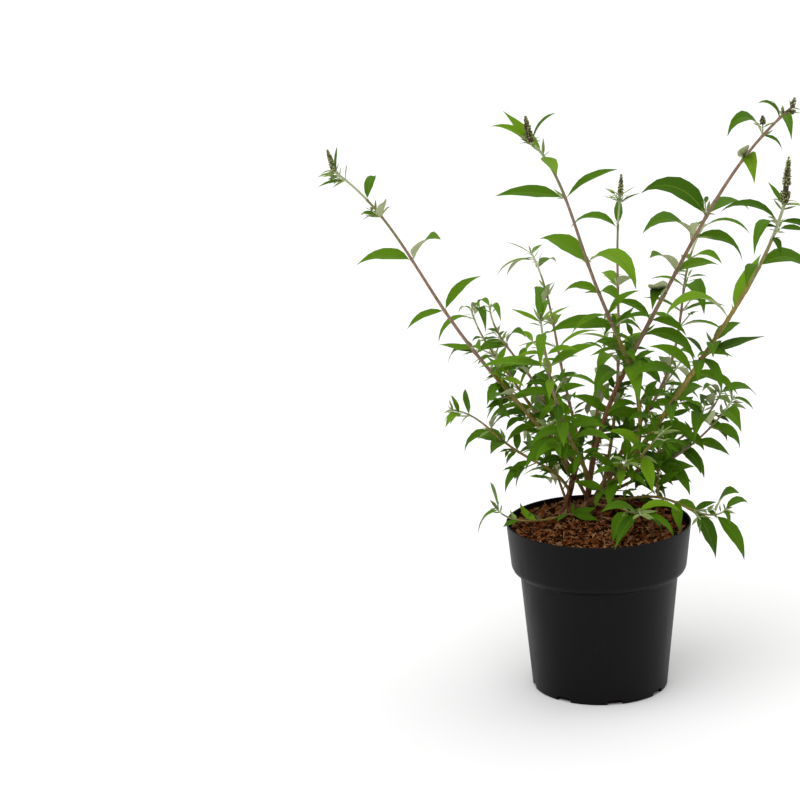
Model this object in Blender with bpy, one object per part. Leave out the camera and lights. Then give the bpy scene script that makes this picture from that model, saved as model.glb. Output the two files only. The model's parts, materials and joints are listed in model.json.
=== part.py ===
"""Potted butterfly bush in green bud, in a round black nursery pot.

Units are metres and Z is up. The origin is the centre of the pot's flat underside, X runs to the
right of the front view and Y away from it. Plant sizes are given in millimetres and degrees: a
heading is a direction in plan (0 = +X, 90 = away from the front) and a lean is an angle from upright.
"""

import math
import random
from dataclasses import dataclass

import bmesh
import bpy
from mathutils import Vector
from mathutils.bvhtree import BVHTree

MM = 0.001
GAP = 0.0003
AWAY = Vector((0, 1, 0))
UP = Vector((0, 0, 1))

# Pot: outer sizes of a 19 cm, 3 litre nursery pot
POT_HEIGHT = 0.176
POT_RIM_RADIUS = 0.095
POT_BASE_RADIUS = 0.070
POT_SHOULDER_RADIUS = 0.0815
POT_SHOULDER_HEIGHT = 0.1215
POT_COLLAR_RADIUS = 0.0903
POT_COLLAR_FOOT = 0.1300
POT_WALL = 0.0016
POT_LIP = 0.0012
POT_FLOOR = 0.0025
POT_EDGE = 0.0018
POT_SIDES = 36
NOTCH_COUNT = 8
NOTCH_WIDTH = 0.016
NOTCH_HEIGHT = 0.005
NOTCH_DEPTH = 0.006
NOTCH_TURN = 12.5

# Potting bark: a ball of it fills the pot, level under the plant and heaped at the back
SOIL_EDGE_HEIGHT = 0.1680
SOIL_BACK_RISE = 0.0060
SOIL_SEAT_HEIGHT = 0.1710
SOIL_SEAT_RADIUS = 0.034
SOIL_ROUGHNESS = 0.0016
SOIL_LUMPS = (-1.0, 0.4)
SOIL_FALL = 0.030
SOIL_RINGS = 5
SOIL_RING_INSET = 0.35
SOIL_SEED = 11

# Root crown: where the stems leave the bark
CROWN_X = -0.022
CROWN_Y = 0.048
CROWN_REACH = (0.021, 0.011)
CROWN_RISE = 0.007
CROWN_RINGS = ((1.0, -0.5), (0.9, 0.35), (0.55, 0.85))
CROWN_SIDES = 14
FLARE = 1.75
FLARE_HEIGHT = 9.0
STEM_SIDES = 9
WOOD_RUN = 9.0

# Leaves: proportions shared by every leaf of the bush
LEAF_WIDTH = 0.265
LEAF_THICKNESS = 0.016
LEAF_FOLD = 0.30
LEAF_SPREAD = 57.0
LEAF_FALL = 70.0
LEAF_BEND = 1.3
LEAF_LOWEST = 172.0
LEAF_STEPS = 12
LEAF_RING = 4
LONG_LEAF = ((0.38, 1.0), (0.72, 0.60))
SHORT_LEAF = ((0.45, 1.0),)
LEAF_BENT_FROM = 60.0
LEAF_CLEARANCE = 0.0005
LEAF_ROLL = 15.0
# Leaves turn their faces part of the way to the light, by up to a limit in degrees
LIGHT = Vector((-0.2, -0.8, 0.57))
SUN_SHARE = 0.75
SUN_LIMIT = 58.0
ROOT_SINK = 0.55
SECOND_LEAF = 0.92
PAIR_JITTER = 14.0
FALL_JITTER = 20.0
SIZE_JITTER = 0.12
# Turns and extra falls in degrees that a crowded leaf tries before it is left off
LEAF_TRIES = ((0, 0), (22, 8), (-22, 8), (0, -30), (0, 32), (42, 0), (-42, 0))
# Shares of a cane's longest leaf that its pairs have at the foot, at the middle and at the tip
LEAF_PROFILE = (0.80, 1.0, 0.45)
# What leaves and joints lose by the tip: share of the fall, of the joint and of the width past a share
FALL_LOSS = 0.3
JOINT_LOSS = 0.5
TIP_SHARE = 0.80
TIP_NARROWING = 0.40

# Tufts: the small leafy shoots in the axils of the leaves
TUFT_SPREAD = 32.0
TUFT_SIZES = (0.75, 1.25)
TUFT_RADII = (0.0009, 0.0007)
TUFT_LEAF_PLACE = 0.94
TUFT_LEAF_SIZE = 1.3
TUFT_LEAF_FALL = 0.6
TWIG_SIDES = 3
TWIG_OUTER = 0.4

# Bud spikes: share of the length and of the half width at each ring
SPIKE_RINGS = ((0.03, 0.75), (0.20, 1.0), (0.60, 0.78), (0.93, 0.42))
SPIKE_SLENDER = 0.125
SPIKE_SIDES = 6
SPIKE_ROOT = 0.06
SPIKE_SUNK = 1.5
SPIKE_RISE = 2.0
HEAD_WIDTH = 0.32
HEAD_SUNK = 0.8
STALK_RADIUS = 0.0007

# Stems: facets, and the greatest length in millimetres and turn of one straight run
STEM_RUN = 26.0
STEM_TURN = math.radians(15)
BOUGH_SIDES = 7
SHOOT_SIDES = 5
PATH_STEPS = 48
FIRST_JOINT = 5.0
LEAST_JOINT = 0.45
LAST_JOINT = 3.5

# Plain finishes: linear base colour and roughness of each material slot
FINISHES = {
    "pot_plastic": ((0.010, 0.009, 0.009), 0.45),
    "potting_bark": ((0.060, 0.016, 0.007), 0.9),
    "young_wood": ((0.130, 0.075, 0.045), 0.7),
    "foliage": ((0.060, 0.140, 0.012), 0.6),
}

BOX_FACES = [(0, 1, 3, 2), (4, 6, 7, 5), (0, 2, 6, 4), (1, 5, 7, 3), (0, 4, 5, 1), (2, 3, 7, 6)]


@dataclass(frozen=True)
class Stem:
    """One old woody stem of the stump: its foot on the bark, then its heading, lean and length."""

    name: str
    foot: tuple
    heading: float
    lean: float
    length: float
    radii: tuple


@dataclass(frozen=True)
class Cane:
    """One cane: a bare bough from its parent, carried on as the stem of a leafy shoot.

    seat is the share of the parent's length it grows from, bow the change of lean by the tip, power
    how late the bow comes, sway an S-bend and veer the change of heading. bare is the length of the
    bough. Up to the distance full the rule sets leaf pairs: joint is the space between them, leaf the
    length of the longest leaf and phase the heading of the first pair. A row of pairs sets a pair by
    hand: its distance from the foot, the heading of its first leaf, how far both fall in degrees, and
    the two lengths, where 0 is a leaf that was shed. tufts is the chance of a leafy twig in an axil
    and tuft_length its length. spike is the length of the spike of buds at the tip. A row of heads
    holds a smaller head of buds: its distance from the foot, its heading, its spread from the cane,
    and the lengths of its stalk and of itself.
    """

    name: str
    parent: str
    seat: float
    heading: float
    lean: float
    bow: float
    power: float
    length: float
    radii: tuple
    bare: float
    seed: int
    sway: float = 0.0
    veer: float = 0.0
    joint: float = 34.0
    phase: float = 0.0
    leaf: float = 56.0
    full: float = 0.0
    spike: float = 0.0
    tufts: float = 0.5
    tuft_length: float = 18.0
    pairs: tuple = ()
    heads: tuple = ()


STUMP = (
    Stem("left", (-0.035, 0.046), 0, 14, 56, (3.4, 2.8)),
    Stem("middle", (-0.0135, 0.052), -45, 13, 34, (3.4, 3.0)),
    Stem("stub", (-0.018, 0.048), -20, 46, 52, (4.2, 3.9)),
)

CANES = (
    Cane("far_left", "left", 0.75, -165, 30.5, 22, 3, 414, (2.4, 1.1), 62, 3, sway=8, spike=24,
         full=150, tufts=0.12, tuft_length=10,
         pairs=((83, 150, 75, 56, 48), (111, 275, 25, 88, 40), (172, 145, 10, 46, 0),
                (175, 135, 70, 45, 50), (227, 195, 55, 46, 55), (290, 145, 50, 74, 85),
                (345, 310, 30, 60, 30), (368, 40, 90, 50, 0), (398, 340, 25, 30, 36),
                (411, 165, 15, 25, 42))),
    Cane("strong_right", "stub", 0.90, -32, 41, -24, 2, 376, (3.0, 1.5), 84, 5, sway=-4,
         veer=-6, spike=46, full=225, tufts=0.15, tuft_length=18,
         pairs=((145, 175, 100, 73, 0), (147, 50, 30, 46, 0), (180, 250, 70, 57, 0),
                (183, 275, 80, 53, 0), (188, 30, 10, 69, 50), (238, 175, 115, 88, 0),
                (247, 90, 10, 76, 0), (303, 50, 110, 82, 50), (336, 280, 95, 34, 0),
                (351, 230, 115, 75, 0), (354, 165, 95, 65, 50), (372, 135, 15, 31, 24))),
    Cane("left_centre", "strong_right", 0.13, -159, -15, 80, 1, 392, (2.3, 1.2), 46, 7, sway=16,
         veer=44, spike=28, full=200, tufts=0.12, tuft_length=16, phase=40,
         pairs=((91, 100, 25, 54, 0), (94, 310, 100, 80, 0), (141, 160, 55, 73, 60),
                (219, 115, 55, 78, 0), (222, 330, 115, 88, 0), (298, 175, 30, 71, 70),
                (359, 100, 10, 61, 72), (386, 90, 60, 46, 0), (388, 50, 50, 50, 0))),
    Cane("top_right", "middle", 0.90, -19, 6.5, 43, 1, 460, (2.8, 1.3), 74, 9, sway=7,
         spike=10, heads=((417, 170, 40, 13, 9), (445, 150, 45, 4, 5), (449, 330, 30, 3, 9)),
         full=200, tufts=0.22, tuft_length=16,
         pairs=((123, 225, 105, 80, 0), (126, 80, 95, 76, 0), (176, 185, 130, 58, 69),
                (220, 240, 30, 80, 0), (223, 235, 90, 64, 0), (251, 225, 45, 86, 58),
                (291, 200, 90, 86, 66), (316, 160, 105, 85, 0), (319, 65, 70, 74, 0),
                (386, 245, 15, 58, 0), (389, 260, 100, 60, 0), (417, 185, 130, 72, 27),
                (441, 170, 95, 36, 0), (444, 255, 95, 54, 0))),
    Cane("centre", "stub", 0.60, 56, 25, -42, 2, 319, (2.0, 1.0), 60, 11, veer=60,
         spike=23, full=200, tufts=0.2, tuft_length=12, phase=190,
         pairs=((137, 250, 115, 66, 0), (140, 60, 10, 66, 0), (218, 290, 50, 58, 56),
                (281, 150, 105, 67, 0), (284, 90, 10, 44, 0), (309, 200, 20, 24, 26))),
    Cane("thin_left", "middle", 0.55, 128, 9, 36, 2, 265, (1.9, 0.9), 58, 13, sway=10,
         full=200, tufts=0.2, tuft_length=12, phase=180,
         pairs=((98, 110, 75, 56, 40), (140, 150, 55, 35, 24), (212, 95, 115, 70, 62),
                (244, 60, 50, 62, 0), (254, 185, 80, 50, 0), (257, 130, 50, 56, 0),
                (264, 245, 20, 34, 45))),
    Cane("behind_right", "stub", 0.78, 38, 21, 30, 3, 303, (2.0, 1.0), 60, 15, sway=23, veer=8,
         full=215, tufts=0.2, tuft_length=14,
         pairs=((140, 60, 70, 56, 50), (188, 150, 70, 52, 56), (228, 280, 120, 78, 0),
                (231, 185, 65, 40, 0), (259, 290, 80, 57, 40), (301, 290, 90, 60, 80))),
    Cane("low_left", "left", 0.40, -168, 22, 60, 1, 160, (1.8, 0.8), 50, 17, sway=19,
         full=100, tufts=0.2, tuft_length=12,
         pairs=((74, 20, 60, 28, 20), (110, 170, 85, 42, 60), (139, 5, 55, 46, 14),
                (147, 300, 45, 50, 0), (150, 5, 10, 26, 0), (158, 190, 10, 16, 12))),
    Cane("outer_left", "left", 0.95, 151, 62, -46, 1, 202, (1.8, 0.9), 60, 19, sway=-12,
         joint=30, phase=80, leaf=44, full=185, tufts=0.15, tuft_length=14,
         pairs=((130, 285, 75, 58, 36), (189, 235, 110, 63, 0), (192, 300, 130, 70, 0),
                (201, 115, 75, 38, 50))),
    Cane("inner_left", "left", 1.0, 171, 37, -34, 3, 190, (1.8, 0.9), 50, 21, sway=-13,
         joint=30, phase=40, leaf=46, full=180, tufts=0.12, tuft_length=14,
         pairs=((105, 100, 25, 56, 44), (141, 110, 50, 60, 0), (144, 330, 95, 50, 0),
                (188, 110, 100, 49, 50))),
    Cane("leafy_left", "middle", 1.0, -110, 40, -25, 3, 247, (2.4, 1.0), 50, 23, sway=5,
         joint=30, leaf=52, spike=8, full=220, tufts=0.2, tuft_length=18,
         pairs=((61, 90, 10, 45, 0), (64, 120, 125, 66, 0), (100, 10, 70, 50, 44),
                (140, 95, 75, 56, 40), (190, 190, 35, 74, 58), (229, 270, 95, 62, 0),
                (243, 170, 10, 33, 37), (246, 90, 45, 52, 0), (247, 75, 70, 46, 0))),
    Cane("right_low_upper", "stub", 0.80, 6, 66, -49, 2, 159, (1.8, 0.8), 46, 25, sway=-8,
         full=130, tufts=0.3, tuft_length=14, phase=60,
         pairs=((95, 100, 70, 44, 40), (120, 185, 100, 34, 40), (137, 220, 90, 60, 0),
                (153, 50, 70, 66, 56))),
    Cane("right_low", "stub", 0.42, -4, 64, -36, 2, 186, (1.9, 0.8), 46, 27,
         full=150, tufts=0.2, tuft_length=16, phase=20,
         pairs=((105, 110, 80, 46, 42), (143, 205, 130, 80, 50), (162, 260, 70, 72, 20),
                (183, 315, 65, 30, 46))),
    Cane("trailing_left", "left", 0.05, -80, 90.5, -50, 4, 113, (1.6, 0.8), 40, 29, sway=-5, veer=-138,
         tufts=0.2, tuft_length=10,
         pairs=((61, 25, 55, 35, 0), (63, 70, -75, 30, 0), (84, 240, 40, 26, 22),
                (107, 320, 65, 56, 48))),
    Cane("front_right", "stub", 0.35, -62, 100, -36, 1, 102, (1.7, 0.9), 60, 31, sway=-14,
         full=74, tufts=0.2, tuft_length=10, spike=5,
         pairs=((78, 60, 80, 44, 46), (97, 90, 90, 50, 0), (99, 320, 70, 52, 0),
                (101, 155, 45, 68, 0), (102, 275, 30, 66, 0))),
    Cane("rim_right", "stub", 0.50, -25, 104, -63, 3, 150, (1.8, 0.8), 80, 33, sway=-27,
         full=96, tufts=0.2, tuft_length=12,
         pairs=((88, 70, 70, 42, 40), (110, 345, 30, 26, 64), (133, 160, 60, 70, 60),
                (146, 95, 90, 44, 26))),
    Cane("small_right", "stub", 1.0, -60, 48, 8, 1, 124, (1.6, 0.8), 40, 35, sway=6,
         joint=28, phase=20, leaf=48, full=124, tufts=0.2, tuft_length=16),
    Cane("upright_right", "rim_right", 0.46, 80, 12, -10, 1, 78, (1.4, 0.8), 9, 37,
         joint=18, phase=10, leaf=48, full=78, tufts=0.2, tuft_length=14),
    Cane("base_left", "left", 0.62, -118, 40, -12, 1, 90, (1.5, 0.8), 34, 51,
         joint=17, phase=20, leaf=36, full=90, tufts=0.0),
    Cane("base_right", "stub", 0.75, -72, 66, -24, 1, 84, (1.6, 0.8), 34, 53,
         joint=19, phase=70, leaf=44, full=84, tufts=0.0),
    Cane("back_left", "middle", 0.40, 140, 36, 16, 1, 195, (2.0, 0.9), 60, 41,
         joint=32, phase=30, leaf=56, full=195, tufts=0.12, tuft_length=18),
    Cane("back", "middle", 0.62, 80, 30, 20, 1, 205, (2.1, 0.9), 60, 43, sway=6,
         joint=34, phase=0, leaf=58, full=205, tufts=0.1, tuft_length=18),
    Cane("back_right", "stub", 0.32, 46, 44, 8, 1, 195, (2.0, 0.9), 60, 45,
         joint=32, phase=60, leaf=56, full=195, tufts=0.12, tuft_length=18),
    Cane("back_low", "left", 0.20, 104, 78, -30, 2, 130, (1.6, 0.8), 50, 47, sway=-10,
         joint=24, phase=20, leaf=48, full=130, tufts=0.2, tuft_length=12),
)


def direction(heading, lean):
    """Unit vector that points along a heading in plan, leaned from upright."""
    turn = math.radians(heading)
    tilt = math.radians(lean)
    return Vector((math.sin(tilt) * math.cos(turn), math.sin(tilt) * math.sin(turn), math.cos(tilt)))


def arc(foot, heading, lean, length, bow=0.0, power=1.0, sway=0.0, veer=0.0, steps=PATH_STEPS):
    """Points along a limb or a leaf that leans more by its tip, sways once and veers in plan."""
    points = [Vector(foot)]
    for step in range(steps):
        share = (step + 0.5) / steps
        tilt = lean + bow * share ** power + sway * math.sin(2 * math.pi * share)
        points.append(points[-1] + direction(heading + veer * share, tilt) * (length * MM / steps))
    return points


def at(points, share):
    """Place and direction at a share of the way along a path."""
    place = min(max(share, 0.0), 1.0) * (len(points) - 1)
    index = min(int(place), len(points) - 2)
    way = points[index + 1] - points[index]
    return points[index] + way * (place - index), way.normalized()


def frame_across(way, hint):
    """Two unit vectors across a direction, the first one nearest to the hint."""
    first = hint - way * hint.dot(way)
    if first.length < 1e-6:
        first = Vector((1, 0, 0)) - way * way.x
    first.normalize()
    return first, way.cross(first)


def outward(way, heading):
    """Unit vector across a stem that points nearest to a heading."""
    turn = math.radians(heading)
    return frame_across(way, Vector((math.cos(turn), math.sin(turn), 0)))[0]


def spread_from(way, out, spread):
    """Unit vector that leaves a stem's direction by an angle, towards a vector across the stem."""
    tilt = math.radians(spread)
    return way * math.cos(tilt) + out * math.sin(tilt)


def tube(rings, sides):
    """Closed tapering tube with flat ends through rings, each a place, a direction and a radius."""
    vertices = []
    for place, way, radius in rings:
        across, up = frame_across(way, AWAY)
        for side in range(sides):
            angle = 2 * math.pi * side / sides
            vertices.append(place + (across * math.cos(angle) + up * math.sin(angle)) * radius)
    faces = [tuple(reversed(range(sides)))]
    for ring in range(len(rings) - 1):
        for side in range(sides):
            low = ring * sides + side
            low_next = ring * sides + (side + 1) % sides
            faces.append((low, low_next, low_next + sides, low + sides))
    faces.append(tuple(range((len(rings) - 1) * sides, len(rings) * sides)))
    return vertices, faces


def leaf_form(axis, way, sink, leaf, turned=0.0, fallen=0.0, extra=0.0):
    """Vertices and faces of one folded leaf: a root point, one or two stations and a tip.

    axis and way are the place and direction of its stem, and sink the radius the root is set behind.
    """
    out = outward(way, leaf.heading + turned)
    start = spread_from(way, out, LEAF_SPREAD)
    lean = math.degrees(math.acos(max(-1.0, min(1.0, start.z))))
    turn = math.atan2(start.y, start.x)
    fall = min(leaf.fall + fallen, LEAF_LOWEST - lean)
    root = axis - out * (sink * ROOT_SINK)
    points = arc(root, math.degrees(turn), lean, leaf.length, fall, LEAF_BEND, steps=LEAF_STEPS)
    half_width = 0.5 * LEAF_WIDTH * leaf.slender * leaf.length * MM + extra
    thickness = LEAF_THICKNESS * leaf.length * MM + 2 * extra
    side = Vector((-math.sin(turn), math.cos(turn), 0))
    upper = at(points, 0.5)[1].cross(side)
    sunward = math.degrees(math.atan2(-LIGHT.dot(side), LIGHT.dot(upper)))
    roll = math.radians(leaf.roll + min(max(SUN_SHARE * sunward, -SUN_LIMIT), SUN_LIMIT))
    stations = LONG_LEAF if leaf.length >= LEAF_BENT_FROM else SHORT_LEAF
    vertices = [points[0]]
    for share, wide in stations:
        place, ahead = at(points, share)
        upper = ahead.cross(side)
        edge = side * math.cos(roll) + upper * math.sin(roll)
        face = upper * math.cos(roll) - side * math.sin(roll)
        reach = half_width * wide
        crest = face * (reach * LEAF_FOLD)
        vertices += [place + edge * reach + crest, place + face * (thickness / 2),
                     place - edge * reach + crest, place - face * (thickness / 2)]
    vertices.append(points[-1] + (points[-1] - points[-2]).normalized() * extra)
    return vertices, spindle_faces(len(stations), LEAF_RING)


def spindle_faces(rings, sides):
    """Faces of a form with a point at each end and rings of vertices between."""
    tip = 1 + rings * sides
    faces = [(0, 1 + (k + 1) % sides, 1 + k) for k in range(sides)]
    for ring in range(rings - 1):
        base = 1 + sides * ring
        for k in range(sides):
            after = (k + 1) % sides
            faces.append((base + k, base + after, base + sides + after, base + sides + k))
    base = tip - sides
    faces += [(tip, base + k, base + (k + 1) % sides) for k in range(sides)]
    return faces


def spike_form(root, way, length, half_width):
    """Vertices and faces of a bud spike: fullest near its foot, with a blunt point."""
    across, up = frame_across(way, Vector((1, 0, 0)))
    vertices = [root - way * (SPIKE_ROOT * length)]
    for share, wide in SPIKE_RINGS:
        middle = root + way * (length * share)
        for side in range(SPIKE_SIDES):
            angle = 2 * math.pi * side / SPIKE_SIDES
            out = across * math.cos(angle) + up * math.sin(angle)
            vertices.append(middle + out * half_width * wide)
    vertices.append(root + way * length)
    return vertices, spindle_faces(len(SPIKE_RINGS), SPIKE_SIDES)


@dataclass(frozen=True)
class Leaf:
    """One leaf as its rule sets it, before any crowding: angles in degrees, length in millimetres."""

    heading: float
    length: float
    fall: float
    roll: float
    slender: float = 1.0


@dataclass(frozen=True)
class Limb:
    """One grown limb: points along its axis, its length in millimetres and its end radii in metres."""

    points: list
    length: float
    foot_radius: float
    tip_radius: float
    flare: float = 1.0

    def radius(self, share):
        """Radius at a share of the limb's length, root flare included."""
        plain = self.foot_radius + (self.tip_radius - self.foot_radius) * share
        near = max(0.0, 1 - share * self.length / FLARE_HEIGHT)
        return plain * (1 + (self.flare - 1) * near * near)

    def shares(self, start, end, run=STEM_RUN):
        """Shares of the limb where its straight runs meet, closer together where it bends more."""
        first, last = (round(share * (len(self.points) - 1)) for share in (start, end))
        ways = [b - a for a, b in zip(self.points[first:last], self.points[first + 1:last + 1])]
        turn = sum(a.angle(b) for a, b in zip(ways, ways[1:]))
        count = max(1, round((end - start) * self.length / run), math.ceil(turn / STEM_TURN))
        return [start + (end - start) * index / count for index in range(count + 1)]

    def seat(self, share, start):
        """Place on the straight run that carries a share of a shoot grown from the share start."""
        shares = self.shares(start, 1)
        index = max(k for k in range(len(shares) - 1) if shares[k] <= max(share, start))
        low, high = (at(self.points, shares[k])[0] for k in (index, index + 1))
        return low.lerp(high, (share - shares[index]) / (shares[index + 1] - shares[index]))

    def form(self, start, end, sides, run=STEM_RUN, extra=0.0):
        """Closed tube between two shares of the limb; extra widens it all round and past its end."""
        rings = [(*at(self.points, share), self.radius(share) + extra)
                 for share in self.shares(start, end, run)]
        place, way, radius = rings[-1]
        rings[-1] = (place + way * extra, way, radius)
        return tube(rings, sides)


class Hull:
    """A form with its bounds and, once it is needed, its search tree."""

    def __init__(self, form):
        self.form = form
        self.low = [min(vertex[axis] for vertex in form[0]) for axis in range(3)]
        self.high = [max(vertex[axis] for vertex in form[0]) for axis in range(3)]
        self.tree = None

    def search_tree(self):
        """The search tree of the form's faces."""
        if self.tree is None:
            self.tree = BVHTree.FromPolygons(*self.form)
        return self.tree

    def cuts(self, other):
        """True where the surfaces of two forms cross."""
        apart = any(self.low[axis] > other.high[axis] or self.high[axis] < other.low[axis]
                    for axis in range(3))
        return not apart and bool(self.search_tree().overlap(other.search_tree()))


class Thicket:
    """Keeps every solid placed so far, so that new leaves and twigs stay clear of them."""

    def __init__(self):
        self.placed = []

    def add(self, owner, form, blade=None):
        """Keep a form of an owner; its own kin are held clear of its blade alone."""
        self.placed.append((owner, Hull(form), Hull(blade) if blade else None))

    def is_clear(self, owner, form, blade):
        """True where a form cuts through no other owner's solid and its blade through no kin's blade."""
        whole = Hull(form)
        part = Hull(blade)
        for other, solid, its_blade in self.placed:
            if other != owner and whole.cuts(solid):
                return False
            if other == owner and its_blade and part.cuts(its_blade):
                return False
        return True


def mesh_object(name, form, collection=None):
    """An object of the given vertices and faces, with its faces turned outwards."""
    vertices, faces = form
    mesh = bpy.data.meshes.new(name)
    mesh.from_pydata([tuple(vertex) for vertex in vertices], [], faces)
    build = bmesh.new()
    build.from_mesh(mesh)
    bmesh.ops.recalc_face_normals(build, faces=build.faces)
    build.to_mesh(mesh)
    build.free()
    item = bpy.data.objects.new(name, mesh)
    (collection or bpy.context.scene.collection).objects.link(item)
    return item


def apply_modifiers(item):
    """Replace an object's mesh by its evaluated one and clear its modifiers."""
    shaped = item.evaluated_get(bpy.context.evaluated_depsgraph_get())
    mesh = bpy.data.meshes.new_from_object(shaped)
    item.modifiers.clear()
    item.data = mesh
    mesh.name = item.name


def shape_by(item, forms, operation="UNION"):
    """Join forms to an item, or cut them out of it, by one Boolean on their collection."""
    collection = bpy.data.collections.new(item.name + "_operands")
    bpy.context.scene.collection.children.link(collection)
    for index, form in enumerate(forms):
        mesh_object(f"operand_{index}", form, collection)
    boolean = item.modifiers.new("Shape", "BOOLEAN")
    boolean.operation = operation
    boolean.operand_type = "COLLECTION"
    boolean.collection = collection
    boolean.solver = "EXACT"
    apply_modifiers(item)
    for operand in list(collection.objects):
        bpy.data.objects.remove(operand)
    bpy.data.collections.remove(collection)


def keep_largest(item):
    """Drop every loose piece of a mesh but the one with the most volume."""
    build = bmesh.new()
    build.from_mesh(item.data)
    pieces = []
    left = set(build.verts)
    while left:
        piece = set()
        edge = [left.pop()]
        while edge:
            vertex = edge.pop()
            piece.add(vertex)
            for near in (link.other_vert(vertex) for link in vertex.link_edges):
                if near in left:
                    left.remove(near)
                    edge.append(near)
        pieces.append(piece)
    pieces.sort(key=lambda piece: -extent(piece))
    for piece in pieces[1:]:
        bmesh.ops.delete(build, geom=list(piece), context="VERTS")
    build.to_mesh(item.data)
    build.free()


def extent(vertices):
    """Diagonal of the bounds of some vertices."""
    spans = [[vertex.co[axis] for vertex in vertices] for axis in range(3)]
    return math.sqrt(sum((max(span) - min(span)) ** 2 for span in spans))


def turned(profile, sides):
    """Closed body of a profile of (radius, height) pairs turned round the Z axis, ends on the axis."""
    vertices = [Vector((0, 0, profile[0][1]))]
    for radius, height in profile[1:-1]:
        for side in range(sides):
            angle = 2 * math.pi * side / sides
            vertices.append(Vector((radius * math.cos(angle), radius * math.sin(angle), height)))
    vertices.append(Vector((0, 0, profile[-1][1])))
    return vertices, spindle_faces(len(profile) - 2, sides)


def inner_radius(height):
    """Radius of the inside of the pot at a height above its floor."""
    outline = ((POT_FLOOR, POT_BASE_RADIUS), (POT_SHOULDER_HEIGHT, POT_SHOULDER_RADIUS),
               (POT_COLLAR_FOOT, POT_COLLAR_RADIUS), (POT_HEIGHT, POT_RIM_RADIUS))
    for (low, small), (high, large) in zip(outline, outline[1:]):
        if height <= high:
            return small + (large - small) * (height - low) / (high - low) - POT_WALL
    return POT_RIM_RADIUS - POT_WALL


def make_pot():
    """Thin-walled round pot with a deep collar and drain notches in the edge of its underside."""
    profile = [(0, 0), (POT_BASE_RADIUS - POT_EDGE, 0), (POT_BASE_RADIUS, POT_EDGE),
               (POT_SHOULDER_RADIUS, POT_SHOULDER_HEIGHT),
               (POT_COLLAR_RADIUS - POT_EDGE, POT_COLLAR_FOOT - 2 * POT_EDGE),
               (POT_COLLAR_RADIUS, POT_COLLAR_FOOT), (POT_RIM_RADIUS, POT_HEIGHT - POT_LIP),
               (POT_RIM_RADIUS - POT_LIP / 2, POT_HEIGHT), (POT_RIM_RADIUS - POT_WALL, POT_HEIGHT)]
    profile += [(inner_radius(height), height)
                for height in (POT_COLLAR_FOOT, POT_SHOULDER_HEIGHT, POT_FLOOR)]
    profile.append((0, POT_FLOOR))
    pot = mesh_object("pot", turned(profile, POT_SIDES))
    shape_by(pot, [notch_form(index) for index in range(NOTCH_COUNT)], "DIFFERENCE")
    return pot


def notch_form(index):
    """Block that cuts one drain notch through the foot of the wall."""
    turn = math.radians(NOTCH_TURN + 360 * index / NOTCH_COUNT - 90)
    out = Vector((math.cos(turn), math.sin(turn), 0))
    aside = Vector((-out.y, out.x, 0)) * (NOTCH_WIDTH / 2)
    corners = []
    for height in (-NOTCH_HEIGHT, NOTCH_HEIGHT):
        for depth in (POT_BASE_RADIUS - NOTCH_DEPTH, POT_BASE_RADIUS + NOTCH_DEPTH):
            for sign in (-1, 1):
                corners.append(out * depth + aside * sign + Vector((0, 0, height)))
    return corners, BOX_FACES


def soil_height(x, y):
    """Height of the bark: flat under the root crown, then sloping to its level along the wall."""
    away = math.hypot(x - CROWN_X, y - CROWN_Y) - SOIL_SEAT_RADIUS
    share = min(max(away / SOIL_FALL, 0.0), 1.0)
    edge = SOIL_EDGE_HEIGHT + SOIL_BACK_RISE * y / POT_RIM_RADIUS
    return SOIL_SEAT_HEIGHT + (edge - SOIL_SEAT_HEIGHT) * share


def make_soil():
    """Ball of potting bark that fills the pot, with a lumpy top that is flat under the root crown."""
    rng = random.Random(SOIL_SEED)
    edge = SOIL_EDGE_HEIGHT
    heights = (POT_FLOOR + GAP, POT_SHOULDER_HEIGHT + GAP, POT_COLLAR_FOOT, edge)
    profile = [(0, heights[0])] + [(inner_radius(height) - GAP, height) for height in heights]
    reach = profile[-1][0]
    for ring in range(SOIL_RINGS, 0, -1):
        profile.append((reach * (ring - SOIL_RING_INSET) / SOIL_RINGS, edge))
    profile.append((0, edge))
    vertices, faces = turned(profile, POT_SIDES)
    first_on_top = 1 + POT_SIDES * len(heights)
    for vertex in vertices[first_on_top - POT_SIDES:first_on_top]:
        vertex.z = soil_height(vertex.x, vertex.y)
        fit = (inner_radius(vertex.z) - GAP) / reach
        vertex.x *= fit
        vertex.y *= fit
    for vertex in vertices[first_on_top:]:
        height = soil_height(vertex.x, vertex.y)
        lump = rng.uniform(*SOIL_LUMPS) * SOIL_ROUGHNESS
        vertex.z = height if height == SOIL_SEAT_HEIGHT else height + lump
    return mesh_object("soil", (vertices, faces))


def grow_limbs():
    """Every limb of the bush by name: the stems of the stump, then the canes on their parents."""
    limbs = {}
    for stem in STUMP:
        foot = (stem.foot[0], stem.foot[1], SOIL_SEAT_HEIGHT + GAP)
        points = arc(foot, stem.heading, stem.lean, stem.length)
        limbs[stem.name] = Limb(points, stem.length, stem.radii[0] * MM, stem.radii[1] * MM, FLARE)
    for cane in CANES:
        foot = at(limbs[cane.parent].points, cane.seat)[0]
        points = arc(foot, cane.heading, cane.lean, cane.length, cane.bow, cane.power,
                     cane.sway, cane.veer)
        limbs[cane.name] = Limb(points, cane.length, cane.radii[0] * MM, cane.radii[1] * MM)
    return limbs


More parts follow.
